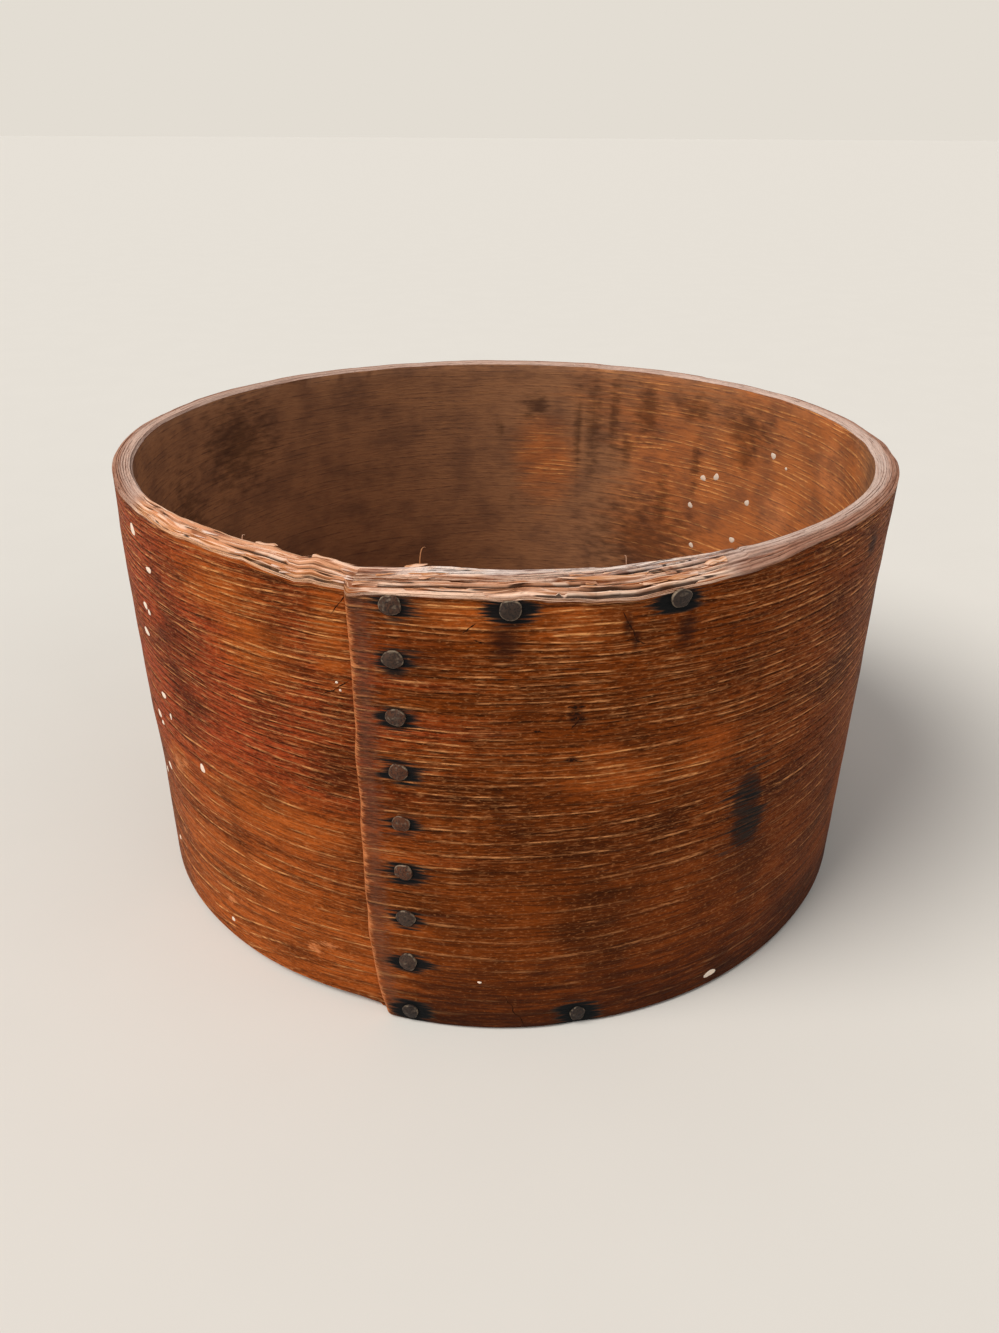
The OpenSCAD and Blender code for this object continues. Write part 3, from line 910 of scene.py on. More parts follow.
def make_board(material):
    """Builds the base board: a profile of top, rounded edge and underside carried round a circle. The
    top is a little cupped, and planed ridges run across it along the grain."""
    arc = np.linspace(0, QUARTER_TURN, 5)
    flat_r = BOARD_R - BOARD_EDGE
    top_r = np.linspace(0, flat_r, 40)
    under_r = np.linspace(flat_r, 0, 12)[1:]
    upper, lower = BOARD_EDGE * np.sin(arc[1:]), BOARD_EDGE * np.cos(arc)
    ring_r = np.concatenate([top_r, flat_r + upper, flat_r + lower, under_r])
    ring_z = np.concatenate([0 * top_r + BOARD_TOP, BOARD_TOP - BOARD_EDGE + BOARD_EDGE * np.cos(arc[1:]),
                             BOARD_EDGE - BOARD_EDGE * np.sin(arc), 0 * under_r])
    outward = ring_r[:, None] / BOARD_R
    theta = np.linspace(0, FULL_TURN, BOARD_SECTORS, endpoint=False)
    x, y = ring_r[:, None] * np.cos(theta), ring_r[:, None] * np.sin(theta)
    on_top = (np.arange(len(ring_r)) < len(top_r))[:, None]
    planed = ripple(x / (70 * MM) + 20, y / (3.1 * MM) + 40, SEED.planed, PLANED_H)
    hollow = BOARD_CUP * (1 - outward ** 2) - planed * (1 - ease(0.9, 1.0, outward))
    z = ring_z[:, None] - on_top * hollow
    points = np.stack(np.broadcast_arrays(x, y, z), -1)
    fields = {"outward": outward + 0 * theta}
    piece = build_mesh("base_disc", points, ring_faces(1, *x.shape).tolist(), fields)
    merge_poles(piece)
    place_piece(piece, [material], ["base_board"])
    return piece


# Spattered paint: degrees from the front, height, half-length and half-height in millimetres
OUTER_FLECKS = [(-56.4, 119.8, 2.0, 1.4), (-52.3, 111.4, 1.5, 0.9), (-56.2, 98.8, 1.6, 0.9),
                (-55, 97.6, 1.0, 0.7), (-57.9, 89.8, 2.0, 1.0), (-55.1, 72.5, 1.5, 1.0),
                (-59.3, 62.6, 1.8, 1.0), (-53.6, 67.1, 0.6, 0.9), (-58.2, 60.7, 1.1, 0.7),
                (-45.7, 57.8, 1.3, 1.2), (-59.7, 44.4, 1.8, 1.0), (-64, 38, 0.9, 1.0),
                (-62.2, 14.6, 0.9, 0.9), (-43.1, 8.3, 0.7, 0.8), (30.2, 4.4, 1.9, 1.2),
                (-70, 80, 1.0, 1.1), (-74, 52, 1.2, 1.0), (-68, 104, 0.8, 0.9),
                (-19.6, 99.5, 0.35, 0.35), (-19.2, 97.6, 0.3, 0.35), (-2.8, 16.6, 0.5, 0.4)]
INNER_FLECKS = [(116.5, 107.6, 1.2, 1.2), (133.8, 91.1, 1.2, 1.2), (130.6, 92.9, 1.3, 1.3),
                (136.3, 79, 1.1, 1.1), (121.9, 87.1, 1.1, 1.2), (124.7, 70.7, 1.3, 1.2),
                (135.1, 62.7, 1.1, 1.0), (112.5, 105, 0.6, 0.6)]
# Thickness of a fleck, and its rings: radius and height in shares, the last let into the wood
FLECK_T = 0.16 * MM
FLECK_RINGS = [(0.0, 1.0), (0.5, 0.85), (0.85, 0.5), (1.0, 0.1), (1.0, -1.2)]
FLECK_SECTORS = 12


def make_flecks(sizes, places, material):
    """Builds the spattered paint as low domes on the wood: rings about each fleck's middle, with an
    uneven outline, a rounded edge and a thickness that falls from the middle."""
    flecks = np.array(OUTER_FLECKS + INNER_FLECKS)
    outer = (np.arange(len(flecks)) < len(OUTER_FLECKS))[:, None, None]
    ring, rise = (column[None, :, None] for column in np.array(FLECK_RINGS).T)
    theta = np.linspace(0, FULL_TURN, FLECK_SECTORS, endpoint=False)[None, None, :]
    draw = np.random.default_rng(SEED.flecks)
    swing = draw.uniform(0, FULL_TURN, (len(flecks), 2))[:, :, None, None]
    outline = 1 + 0.14 * np.cos(2 * theta + swing[:, 0]) + 0.1 * np.cos(3 * theta + swing[:, 1])
    middle, height, half_along, half_up = (column[:, None, None] for column in flecks.T)
    turned = np.radians(middle) + ring * outline * half_along * MM * np.cos(theta) / sizes.outer_r
    z = height * MM + ring * outline * half_up * MM * np.sin(theta)
    out_face = outside_radius(sizes, turned) + outer_hollow(turned, z, places) + rise * FLECK_T
    in_face = sizes.inner_r + inner_hollow(turned, z) - rise * FLECK_T
    points = on_wall(turned, np.where(outer, out_face, in_face), z)
    count, rings, sectors = z.shape
    last_ring = (np.arange(count) * rings + rings - 1) * sectors
    backs = last_ring[:, None] + np.arange(sectors)
    faces = ring_faces(count, rings, sectors).tolist() + backs.tolist()
    piece = build_mesh("paint_flecks", points, faces)
    merge_poles(piece)
    place_piece(piece, [material])
    return piece


# Large splinters on the rim: degrees at the root, run along the rim (less than 0 to the left), depth from
# the outside, half-width and lift of the free end in millimetres, and how blunt that end is
SPLINTERS = [(-31.2, 7.2, 4.9, 0.6, 0.7, 7), (-11.4, 5.6, 7.2, 0.6, 0.5, 7),
             (15.8, -20.5, 2.8, 0.62, 0.4, 8), (21.8, -8.8, 1.7, 0.8, 0.1, 8),
             (25.6, -6, 2.7, 1.0, 0.2, 6), (-40.5, 9, 3.2, 0.5, 0.4, 1.6),
             (-22.6, 7, 3.9, 0.6, 0.5, 1.6), (14.8, 8, 1.6, 0.42, 0.2, 1.6),
             (-9, 16, 2.0, 0.4, 0.2, 1.6)]
# Small splinters: how many, and the least and most of the same six values
SMALL_SPLINTERS = 44
SPLINTER_SPANS = [(-47, 22), (2.5, 9), (0.6, 4.4), (0.12, 0.34), (0, 0.5), (1.4, 1.9)]
# Loose fibres: degrees, depth from the outside, height and sideways curl in millimetres
FIBRES = [(-9.6, 7.6, 4.2, 1.6), (13.9, 6.4, 2.2, -0.6), (-33, 4.4, 1.8, 1.2)]
FIBRE_HALF = 0.1 * MM
FIBRE_SWING = 1.9
# Rings along a sliver or fibre and points round it, how deep they are rooted, and the share of the length
# over which a root swells
SLIVER_RINGS = 14
SLIVER_SIDES = 5
SLIVER_ROOT = 0.25 * MM
FIBRE_ROOT = 0.5 * MM
ROOT_SHARE = 0.08


def root_swell(t):
    """Thickness near a root: from 0 to 1 by the square root of the distance."""
    return np.sqrt(np.clip(t / ROOT_SHARE, 0, 1))


def sliver_points(sizes, t):
    """Slivers of fibre torn up along the rim: a flattened tube along each sliver's path, thick near its
    root and drawn to a point or broken off. The path follows the rim, and its free end rises."""
    draw = np.random.default_rng(SEED.splinters)
    small = np.stack([draw.uniform(low, high, SMALL_SPLINTERS) for low, high in SPLINTER_SPANS], -1)
    slivers = np.concatenate([np.array(SPLINTERS), small])
    root, run, depth, half_width, lift, blunt = (column[:, None] for column in slivers.T)
    turned = np.radians(root) + run * MM * t / sizes.outer_r
    half = root_swell(t) * (1 - t ** blunt) * half_width * MM
    half = half * (1 + 0.25 * np.sin(9 * t + 3 * root))
    depth_here = depth * MM + 0.1 * MM * np.sin(4 * t + root)
    bevelled = worn_away(by_angle(turned, RIM_DROP), depth_here, by_angle(turned, RIM_BEVEL))
    z = rim_top(turned) - bevelled - SLIVER_ROOT + lift * MM * t ** 2
    middle = on_wall(turned, outside_radius(sizes, turned) - depth_here, z)
    outward = on_wall(turned, np.ones(z.shape), 0 * z)
    upward = np.zeros_like(outward) + (0, 0, 1)
    return tube_points(middle, outward, upward, half, 0.7 * half, SLIVER_SIDES)


def fibre_points(sizes, t):
    """Single fibres that stand up from the rim: a thin tube along each, rising by a sine and bending
    over by the square of the distance."""
    degrees, depth, height, curl = (column[:, None] for column in np.array(FIBRES).T)
    turned = np.radians(degrees) + curl * MM * t ** 2 / sizes.outer_r
    z = rim_top(turned) - FIBRE_ROOT + height * MM * np.sin(t * FIBRE_SWING) / math.sin(FIBRE_SWING)
    middle = on_wall(turned, outside_radius(sizes, turned) - depth * MM, z)
    outward = on_wall(turned, np.ones(z.shape), 0 * z)
    half = FIBRE_HALF * (1 - t ** 6) * root_swell(t) + 0 * z
    return tube_points(middle, outward, sideways(turned), half, half, SLIVER_SIDES)


def make_splinters(sizes, material):
    """Builds the torn slivers and the loose fibres of the rim. Their grain map runs round the rim and
    out across it."""
    t = np.linspace(0, 1, SLIVER_RINGS)[None, :]
    points = np.concatenate([sliver_points(sizes, t), fibre_points(sizes, t)])
    faces = ring_faces(*points.shape[:3])
    x, y = points.reshape(-1, 3)[:, :2].T
    grain = np.stack([np.arctan2(x, -y) * sizes.outer_r, np.hypot(x, y)], -1)
    piece = build_mesh("rim_splinters", points, faces.tolist(), grain=grain[faces.ravel()], sharp=30)
    merge_poles(piece)
    place_piece(piece, [material])
    return piece


# Cracks in the oiled face: degrees and height of each end, and half-width in millimetres
CRACKS = [(-16.8, 123.4, -19.8, 116, 0.13), (-17.0, 101.6, -22, 95.1, 0.15),
          (12.7, 120.2, 14.5, 113, 0.2), (-2.9, 118.6, -4.4, 116.2, 0.18),
          (-3.3, 114.7, -2.0, 114.1, 0.16), (0.5, 11.8, 3.2, 0.8, 0.14), (7.0, 98.0, 9.2, 97.8, 0.4),
          (6.9, 96.4, 8.8, 96.2, 0.36), (7.4, 94.9, 9.2, 94.7, 0.5), (8.4, 94.4, 7.5, 92.4, 0.2),
          (7.2, 84.0, 8.3, 83.9, 0.5), (7.6, 83.7, 9.4, 83.3, 0.12), (3.3, 92.2, 4.4, 92.0, 0.3),
          (14.1, 113.4, 15.6, 111.9, 0.16), (12.9, 113.2, 14.2, 113.6, 0.14), (-37, 88, -34, 87.4, 0.16),
          (95, 60, 104, 57, 0.24), (-130, 90, -121, 94, 0.24), (170, 40, 160, 44, 0.24)]
# Rings along a crack and points round it, how far it stands off the face, and how far it wanders
CRACK_RINGS = 20
CRACK_SIDES = 8
CRACK_STAND = 0.09 * MM
CRACK_WANDER = 0.09


def make_cracks(sizes, places, material):
    """Builds the cracks as dark slivers let into the face: a flattened tube along each crack's path,
    which wanders by smooth noise and tapers to both ends."""
    first_deg, first_z, last_deg, last_z, half_width = (column[:, None] for column in np.array(CRACKS).T)
    t = np.linspace(0, 1, CRACK_RINGS)[None, :]
    along = np.radians(last_deg - first_deg) * sizes.outer_r
    rise = (last_z - first_z) * MM
    run = np.hypot(along, rise)
    bends = value_noise(7 * t, first_z, SEED.bends)
    kinks = value_noise(17 * t, first_z, SEED.kinks)
    wander = (bends + 0.5 * kinks - 0.75) * CRACK_WANDER * run * np.sin(math.pi * t)
    turned = np.radians(first_deg) + (along * t - rise / run * wander) / sizes.outer_r
    z = first_z * MM + rise * t + along / run * wander
    middle = on_wall(turned, outside_radius(sizes, turned) + outer_hollow(turned, z, places), z)
    upright = np.zeros_like(middle) + (0, 0, 1)
    side = (-rise / run)[..., None] * sideways(turned) + (along / run)[..., None] * upright
    outward = on_wall(turned, np.ones(z.shape), 0 * z)
    half = half_width * MM * np.sin(math.pi * t) ** 0.6 * (0.75 + 0.35 * np.sin(17 * t + first_deg))
    points = tube_points(middle, side, outward, half, np.minimum(half, CRACK_STAND), CRACK_SIDES)
    piece = build_mesh("hairline_cracks", points, ring_faces(*points.shape[:3]).tolist())
    merge_poles(piece)
    place_piece(piece, [material])
    return piece


# Materials

# Kinds of node that are used often, and the sockets of the colour Mix node
MATH = "ShaderNodeMath"
MIX = "ShaderNodeMix"
RANGE = "ShaderNodeMapRange"
NOISE = "ShaderNodeTexNoise"
FIELD = "ShaderNodeAttribute"
COORDINATES = "ShaderNodeTexCoord"
BUMP = "ShaderNodeBump"
FACTOR, FIRST, SECOND, MIXED = 0, 6, 7, 2


def add_node(tree, kind, inputs=(), output=0, **settings):
    """Adds one node with its settings, fills or links its inputs, which are given in order or by socket,
    and returns one of its outputs."""
    node = tree.nodes.new(kind)
    for name, value in settings.items():
        setattr(node, name, value)
    sockets = inputs if isinstance(inputs, dict) else dict(enumerate(inputs))
    for socket, value in sockets.items():
        if isinstance(value, bpy.types.NodeSocket):
            tree.links.new(value, node.inputs[socket])
        else:
            node.inputs[socket].default_value = value
    return node.outputs[output]


def new_material(name, **constants):
    """A material and its nodes, with constant values on the shader's own sockets."""
    material = bpy.data.materials.new(name)
    material.use_nodes = True
    shader = material.node_tree.nodes["Principled BSDF"]
    for socket, value in constants.items():
        shader.inputs[socket.replace("_", " ")].default_value = value
    return material, material.node_tree


def dressed(material, base, rough=None, height=None, strength=0.5, depth=0.2 * MM):
    """The material with a base colour and, where they are given, a roughness and a relief of some depth."""
    tree = material.node_tree
    sources = {"Base Color": base, "Roughness": rough}
    if height is not None:
        relief = {"Strength": strength, "Distance": depth, "Height": height}
        sources["Normal"] = add_node(tree, BUMP, relief)
    for socket, source in sources.items():
        if source is not None:
            tree.links.new(source, tree.nodes["Principled BSDF"].inputs[socket])
    return material


def drawn_noise(tree, place, along, across, seed, detail=2.0):
    """Noise whose features are about along by across millimetres on the grain map."""
    scale = (1 / (along * MM), 1 / (across * MM), 1)
    shift = (7.3 * seed, 3.1 * seed, 0)
    scaled = add_node(tree, "ShaderNodeMapping", {"Vector": place, "Scale": scale, "Location": shift})
    return add_node(tree, NOISE, {"Vector": scaled, "Scale": 1.0, "Detail": detail}, noise_dimensions="2D")


def solid_noise(tree, size, detail):
    """Noise through the piece's own space, with features of about that size in millimetres."""
    place = add_node(tree, COORDINATES, output="Object")
    return add_node(tree, NOISE, {"Vector": place, "Scale": 1 / (size * MM), "Detail": detail})


def drawn_patterns(tree, place, patterns):
    """The drawn noise of each named pattern."""
    return SimpleNamespace(**{name: drawn_noise(tree, place, *sizes) for name, sizes in patterns.items()})


def sharpened(tree, value, low, high, strength=1.0):
    """A mask of some strength from a value: 0 at low and full at high, eased between."""
    mask = add_node(tree, RANGE, {"Value": value, "From Min": low, "From Max": high},
                    interpolation_type="SMOOTHSTEP")
    return add_node(tree, MATH, [mask, strength], operation="MULTIPLY")


def layered(tree, paints, ground, *layers):
    """A colour built up in layers: a ground, and over it each layer's paint through its mask, at its
    strength. A paint is the name of one or a colour that has been built up before."""
    def found(paint):
        return tuple(getattr(paints, paint)) if isinstance(paint, str) else paint

    built = found(ground)
    for paint, mask, strength in layers:
        share = add_node(tree, MATH, [mask, strength], operation="MULTIPLY", use_clamp=True)
        mix = {FACTOR: share, FIRST: built, SECOND: found(paint)}
        built = add_node(tree, MIX, mix, MIXED, data_type="RGBA")
    return built


# How far the lines of grain wander up and down
GRAIN_WANDER = 3.2 * MM


def wavy_grain(tree):
    """The hoop's own grain map, with the lines of grain wandering up and down by about a millimetre."""
    grain = add_node(tree, "ShaderNodeUVMap", uv_map="grain")
    wander = drawn_noise(tree, grain, 60, 18, 1)
    shift = add_node(tree, MATH, [wander, GRAIN_WANDER, -GRAIN_WANDER / 2], operation="MULTIPLY_ADD")
    upward = add_node(tree, "ShaderNodeCombineXYZ", {"Y": shift})
    return add_node(tree, "ShaderNodeVectorMath", [grain, upward], operation="ADD")


def field_mask(tree, field, noise, spread, low, high):
    """A field of the piece, roughened by noise and sharpened into a mark."""
    smooth = add_node(tree, FIELD, attribute_name=field, output="Fac")
    rough = add_node(tree, MATH, [noise, spread, -spread / 2], operation="MULTIPLY_ADD")
    return sharpened(tree, add_node(tree, MATH, [smooth, rough], operation="ADD"), low, high)


def contour(tree, noise, level, half_width):
    """Thin lines along which the noise passes a level."""
    off_level = add_node(tree, MATH, [noise, level], operation="SUBTRACT")
    distance = add_node(tree, MATH, [off_level], operation="ABSOLUTE")
    return sharpened(tree, distance, half_width, 0.3 * half_width)


# Half-width of a growth line and distance to the groove beside it, which is painted dark as a shadow, as
# angles of the closest line's wave, and how far the wave's phase sways
LINE_HALF = 0.75
LINE_LEAST = 0.3
SHADOW_LAG = 1.9
LINE_SWAY = 12.0


def grain_lines(tree, place, rate, run, seed):
    """Growth lines with a groove beside each, painted dark as the shadow under the line's ridge: the crests
    of a sine of the piece's count of rings, whose phase sways along the strip. Lines keep their width where
    the rings are further apart. Returns the lines and the shaded grooves, both broken into lengths of about
    run millimetres, and the unbroken wave between them."""
    noise = drawn_patterns(tree, place, {"sway": (46, 7, seed), "breaks": (run, 1.8, seed + 1, 3.0),
                                         "beads": (3.2, 0.7, seed + 2, 3.0)})
    rings = add_node(tree, FIELD, attribute_name="rings", output="Fac")
    pace = add_node(tree, FIELD, attribute_name="pace", output="Fac")
    steady = add_node(tree, MATH, [rings, FULL_TURN * rate], operation="MULTIPLY")
    swayed = add_node(tree, MATH, [noise.sway, pace], operation="MULTIPLY")
    phase = add_node(tree, MATH, [swayed, LINE_SWAY, steady], operation="MULTIPLY_ADD")
    crest = add_node(tree, MATH, [phase], operation="SINE")
    lagging = add_node(tree, MATH, [pace, SHADOW_LAG, phase], operation="MULTIPLY_ADD")
    trough = add_node(tree, MATH, [lagging], operation="SINE")
    half_width = add_node(tree, MATH, [pace, LINE_HALF, LINE_LEAST], operation="MULTIPLY_ADD")
    edge = add_node(tree, MATH, [half_width], operation="COSINE")
    full = add_node(tree, MATH, [edge, 0.3, 0.7], operation="MULTIPLY_ADD")
    beads = sharpened(tree, noise.beads, 0.4, 0.58)
    beaded = add_node(tree, MATH, [beads, 0.75, 0.25], operation="MULTIPLY_ADD")
    lengths = add_node(tree, MATH, [sharpened(tree, noise.breaks, 0.43, 0.58), beaded], operation="MULTIPLY")
    unbroken = [sharpened(tree, wave, edge, full) for wave in (crest, trough)]
    lines, shaded_grooves = (add_node(tree, MATH, [mask, lengths], operation="MULTIPLY") for mask in unbroken)
    return lines, shaded_grooves, trough


# Patterns of the wood: length along the grain and across it in millimetres, seed and detail
OUTSIDE_PATTERNS = {
    "band": (90, 5, 2, 3.0), "streak": (40, 1.0, 3, 3.0), "breaks": (11, 1.1, 5), "pores": (3.6, 0.45, 6),
    "patch": (36, 9, 7, 3.0), "blotch": (22, 13, 8, 5.0), "speck": (1.3, 0.5, 9), "combed": (14, 0.8, 18),
    "fibre": (26, 0.4, 10, 3.0), "splitting": (70, 0.9, 11, 1.5), "threads": (14, 0.3, 17)}
INSIDE_PATTERNS = {"stain": (17, 13, 12, 5.0), "broad": (60, 45, 13), "streak": (30, 1.6, 14, 3.0),
                   "torn": (6, 1.9, 15, 4.0), "fine": (5, 0.7, 16)}
SPLINTER_PATTERNS = {"fibre": (9, 0.35, 41, 3.0), "patch": (12, 3, 42)}
BOARD_PATTERNS = {"rings": (160, 11, 31), "fine": (14, 0.8, 32), "blotch": (34, 26, 33, 4.0)}


def oiled_face(tree, paints, place, noise):
    """Colour of the oiled wood, and its hollows and ridges. Red and golden zones break up along the grain;
    one golden spot is a painted sheen, and broad patches of painted shade darken the oil. Dark pores and
    grooves, the grooves' darkness a painted shadow, and pale rubbed ridges, partly painted glints, are fewer
    where the wood is rubbed smooth. Grime, partly painted shade low down, rubbed edges, partly painted
    highlights, and iron stain, drawn out along the grain, lie over them."""
    red = field_mask(tree, "red", noise.band, 1.6, -0.5, 0.75)
    gold = field_mask(tree, "gold", noise.band, 1.8, -0.45, 0.8)
    smooth = field_mask(tree, "smooth", noise.patch, 0.9, -0.2, 0.5)
    coarse = add_node(tree, MATH, [smooth, -0.5, 1.0], operation="MULTIPLY_ADD")
    lines, shaded_grooves, groove_shade_wave = grain_lines(tree, place, 1.0, 15, 21)
    close_lines, close_shaded_grooves, _ = grain_lines(tree, place, 1.6, 14, 24)
    faint_lines = add_node(tree, MATH, [close_lines, 0.28], operation="MULTIPLY")
    faint_shaded_grooves = add_node(tree, MATH, [close_shaded_grooves, 0.5], operation="MULTIPLY")
    lines = add_node(tree, MATH, [lines, faint_lines], operation="MAXIMUM")
    shaded_grooves = add_node(tree, MATH, [shaded_grooves, faint_shaded_grooves], operation="MAXIMUM")
    pores = sharpened(tree, noise.pores, 0.52, 0.68, 0.65)
    hollows = add_node(tree, MATH, [pores, shaded_grooves], operation="MAXIMUM")
    calm = add_node(tree, MATH, [smooth, gold], operation="MAXIMUM")
    open_share = add_node(tree, MATH, [calm, -0.5, 1.0], operation="MULTIPLY_ADD")
    hollows = add_node(tree, MATH, [hollows, open_share], operation="MULTIPLY")
    patched = add_node(tree, MATH, [sharpened(tree, noise.patch, 0.28, 0.56), coarse], operation="MULTIPLY")
    ridges = add_node(tree, MATH, [lines, patched], operation="MULTIPLY")
    golden_lines = add_node(tree, MATH, [ridges, gold], operation="MULTIPLY")
    fine = sharpened(tree, noise.pores, 0.42, 0.28)
    fine_ridges = add_node(tree, MATH, [fine, patched], operation="MULTIPLY")
    worn = add_node(tree, MATH, [noise.breaks, noise.speck], operation="ADD")
    worn = add_node(tree, MATH, [worn, 0.5], operation="MULTIPLY")
    oil = layered(tree, paints, "brown_oil",
                  ("red_oil", red, 1.0),
                  # Golden oil, with one spot of painted sheen
                  ("gold_oil", gold, 1.0),
                  ("pore_and_shade", sharpened(tree, noise.blotch, 0.44, 0.74), 0.5),
                  ("pore_and_shade", sharpened(tree, noise.streak, 0.48, 0.72), 0.5),
                  # Painted shade: a broad dark band beside each growth line
                  ("pore_and_shade", sharpened(tree, groove_shade_wave, -0.4, 0.9), 0.22),
                  # Painted shade: the broad dark patches of the shade spots
                  ("pore_and_shade", field_mask(tree, "shade", noise.blotch, 1.3, -0.2, 1.0), 0.42),
                  # Open pores, and the painted shadow in the groove beside each growth line
                  ("pore_and_shade", hollows, 0.9),
                  # Pale ridges of the growth lines, partly painted glints
                  ("ridge_and_glint", ridges, 0.95),
                  # Golden ridges, partly painted glints
                  ("gold_line", golden_lines, 0.85),
                  ("ridge_and_glint", fine_ridges, 0.24),
                  ("ridge_and_glint", sharpened(tree, noise.speck, 0.58, 0.76), 0.26),
                  ("pore_and_shade", sharpened(tree, noise.speck, 0.42, 0.26), 0.3),
                  ("inner_dark", field_mask(tree, "lap_dirt", noise.speck, 1.6, -0.1, 0.9), 0.5),
                  # Dirt in spots and blotches, and painted shade towards the foot
                  ("grime", field_mask(tree, "grime", noise.breaks, 1.1, -0.1, 0.8), 0.8),
                  # Rubbed edges, and painted highlights at the lap's end and in two glossy spots
                  ("rubbed_edge_and_highlight", field_mask(tree, "rubbed", worn, 3.4, -0.2, 1.0), 0.68),
                  ("iron_halo", field_mask(tree, "iron", noise.combed, 2.2, -0.05, 0.45), 0.65),
                  ("iron_stain", field_mask(tree, "iron", noise.combed, 2.0, 0.15, 0.65), 0.97))
    return oil, hollows, ridges


def bare_fibre(tree, paints, noise):
    """Colour of the bare fibre at the rim: pale, golden and brown layers, greyed on top, with long splits,
    and dull where hands have worn it smooth."""
    tone = add_node(tree, FIELD, attribute_name="tone", output="Fac")
    weathered = add_node(tree, FIELD, attribute_name="grey", output="Fac")
    opened = sharpened(tree, add_node(tree, FIELD, attribute_name="split", output="Fac"), 0.12, 0.6)
    paler = add_node(tree, MATH, [sharpened(tree, noise.fibre, 0.3, 0.6), tone], operation="MULTIPLY")
    recess = add_node(tree, MATH, [1.0, tone], operation="SUBTRACT", use_clamp=True)
    greyed = add_node(tree, MATH, [weathered, sharpened(tree, noise.band, 0.15, 0.45)], operation="MULTIPLY")
    lengths = sharpened(tree, noise.breaks, 0.38, 0.5)
    hairlines = contour(tree, noise.splitting, 0.46, 0.035)
    hairlines = add_node(tree, MATH, [hairlines, lengths], operation="MULTIPLY")
    splits = add_node(tree, MATH, [opened, hairlines], operation="MAXIMUM")
    handled = layered(tree, paints, "dull",
                      ("brown_oil", sharpened(tree, noise.fibre, 0.5, 0.72), 0.35),
                      ("brown_oil", field_mask(tree, "rounded", noise.threads, 1.3, 0.1, 0.9), 0.75))
    return layered(tree, paints, "raw",
                   ("raw_pale", paler, 1.0),
                   ("gold_line", field_mask(tree, "gold", noise.band, 0.6, 0.0, 0.6), 0.5),
                   ("brown_oil", sharpened(tree, noise.fibre, 0.46, 0.32), 0.7),
                   ("gold_oil", recess, 0.42),
                   ("grey", greyed, 1.0),
                   ("brown_oil", sharpened(tree, noise.blotch, 0.52, 0.74), 0.5),
                   ("raw_pale", sharpened(tree, noise.threads, 0.52, 0.66), 0.85),
                   ("brown_oil", sharpened(tree, noise.threads, 0.42, 0.3), 0.6),
                   ("crack", splits, 0.9),
                   (handled, field_mask(tree, "dull", noise.blotch, 0.6, 0.1, 0.7), 0.8))


def oiled_ash_outside(paints):
    """Ring-porous ash, steamed, bent and oiled: open pores draw dark dashes along the grain, rubbed ridges
    between them are painted paler, partly as glints, with a painted shadow beside each, and the oil has gone
    red, brown and gold in patches. Iron has blackened it round the nails, and at the rim it is worn to bare,
    splintered, greying fibre."""
    material, tree = new_material("Oiled bent ash, worn outside", IOR=1.5, Specular_IOR_Level=0.03)
    place = wavy_grain(tree)
    noise = drawn_patterns(tree, place, OUTSIDE_PATTERNS)
    oil, hollows, ridges = oiled_face(tree, paints, place, noise)
    bare = field_mask(tree, "bare", noise.breaks, 1.4, -0.1, 0.35)
    wood = layered(tree, paints, oil, (bare_fibre(tree, paints, noise), bare, 1.0))
    dull = add_node(tree, MATH, [bare, 0.22, 0.52], operation="MULTIPLY_ADD")
    rough = add_node(tree, MATH, [hollows, 0.2, dull], operation="MULTIPLY_ADD")
    raised = add_node(tree, MATH, [hollows, -0.9, ridges], operation="MULTIPLY_ADD")
    grit = add_node(tree, MATH, [noise.speck, 0.5, raised], operation="MULTIPLY_ADD")
    return dressed(material, wood, rough, grit, 0.9, 0.25 * MM)


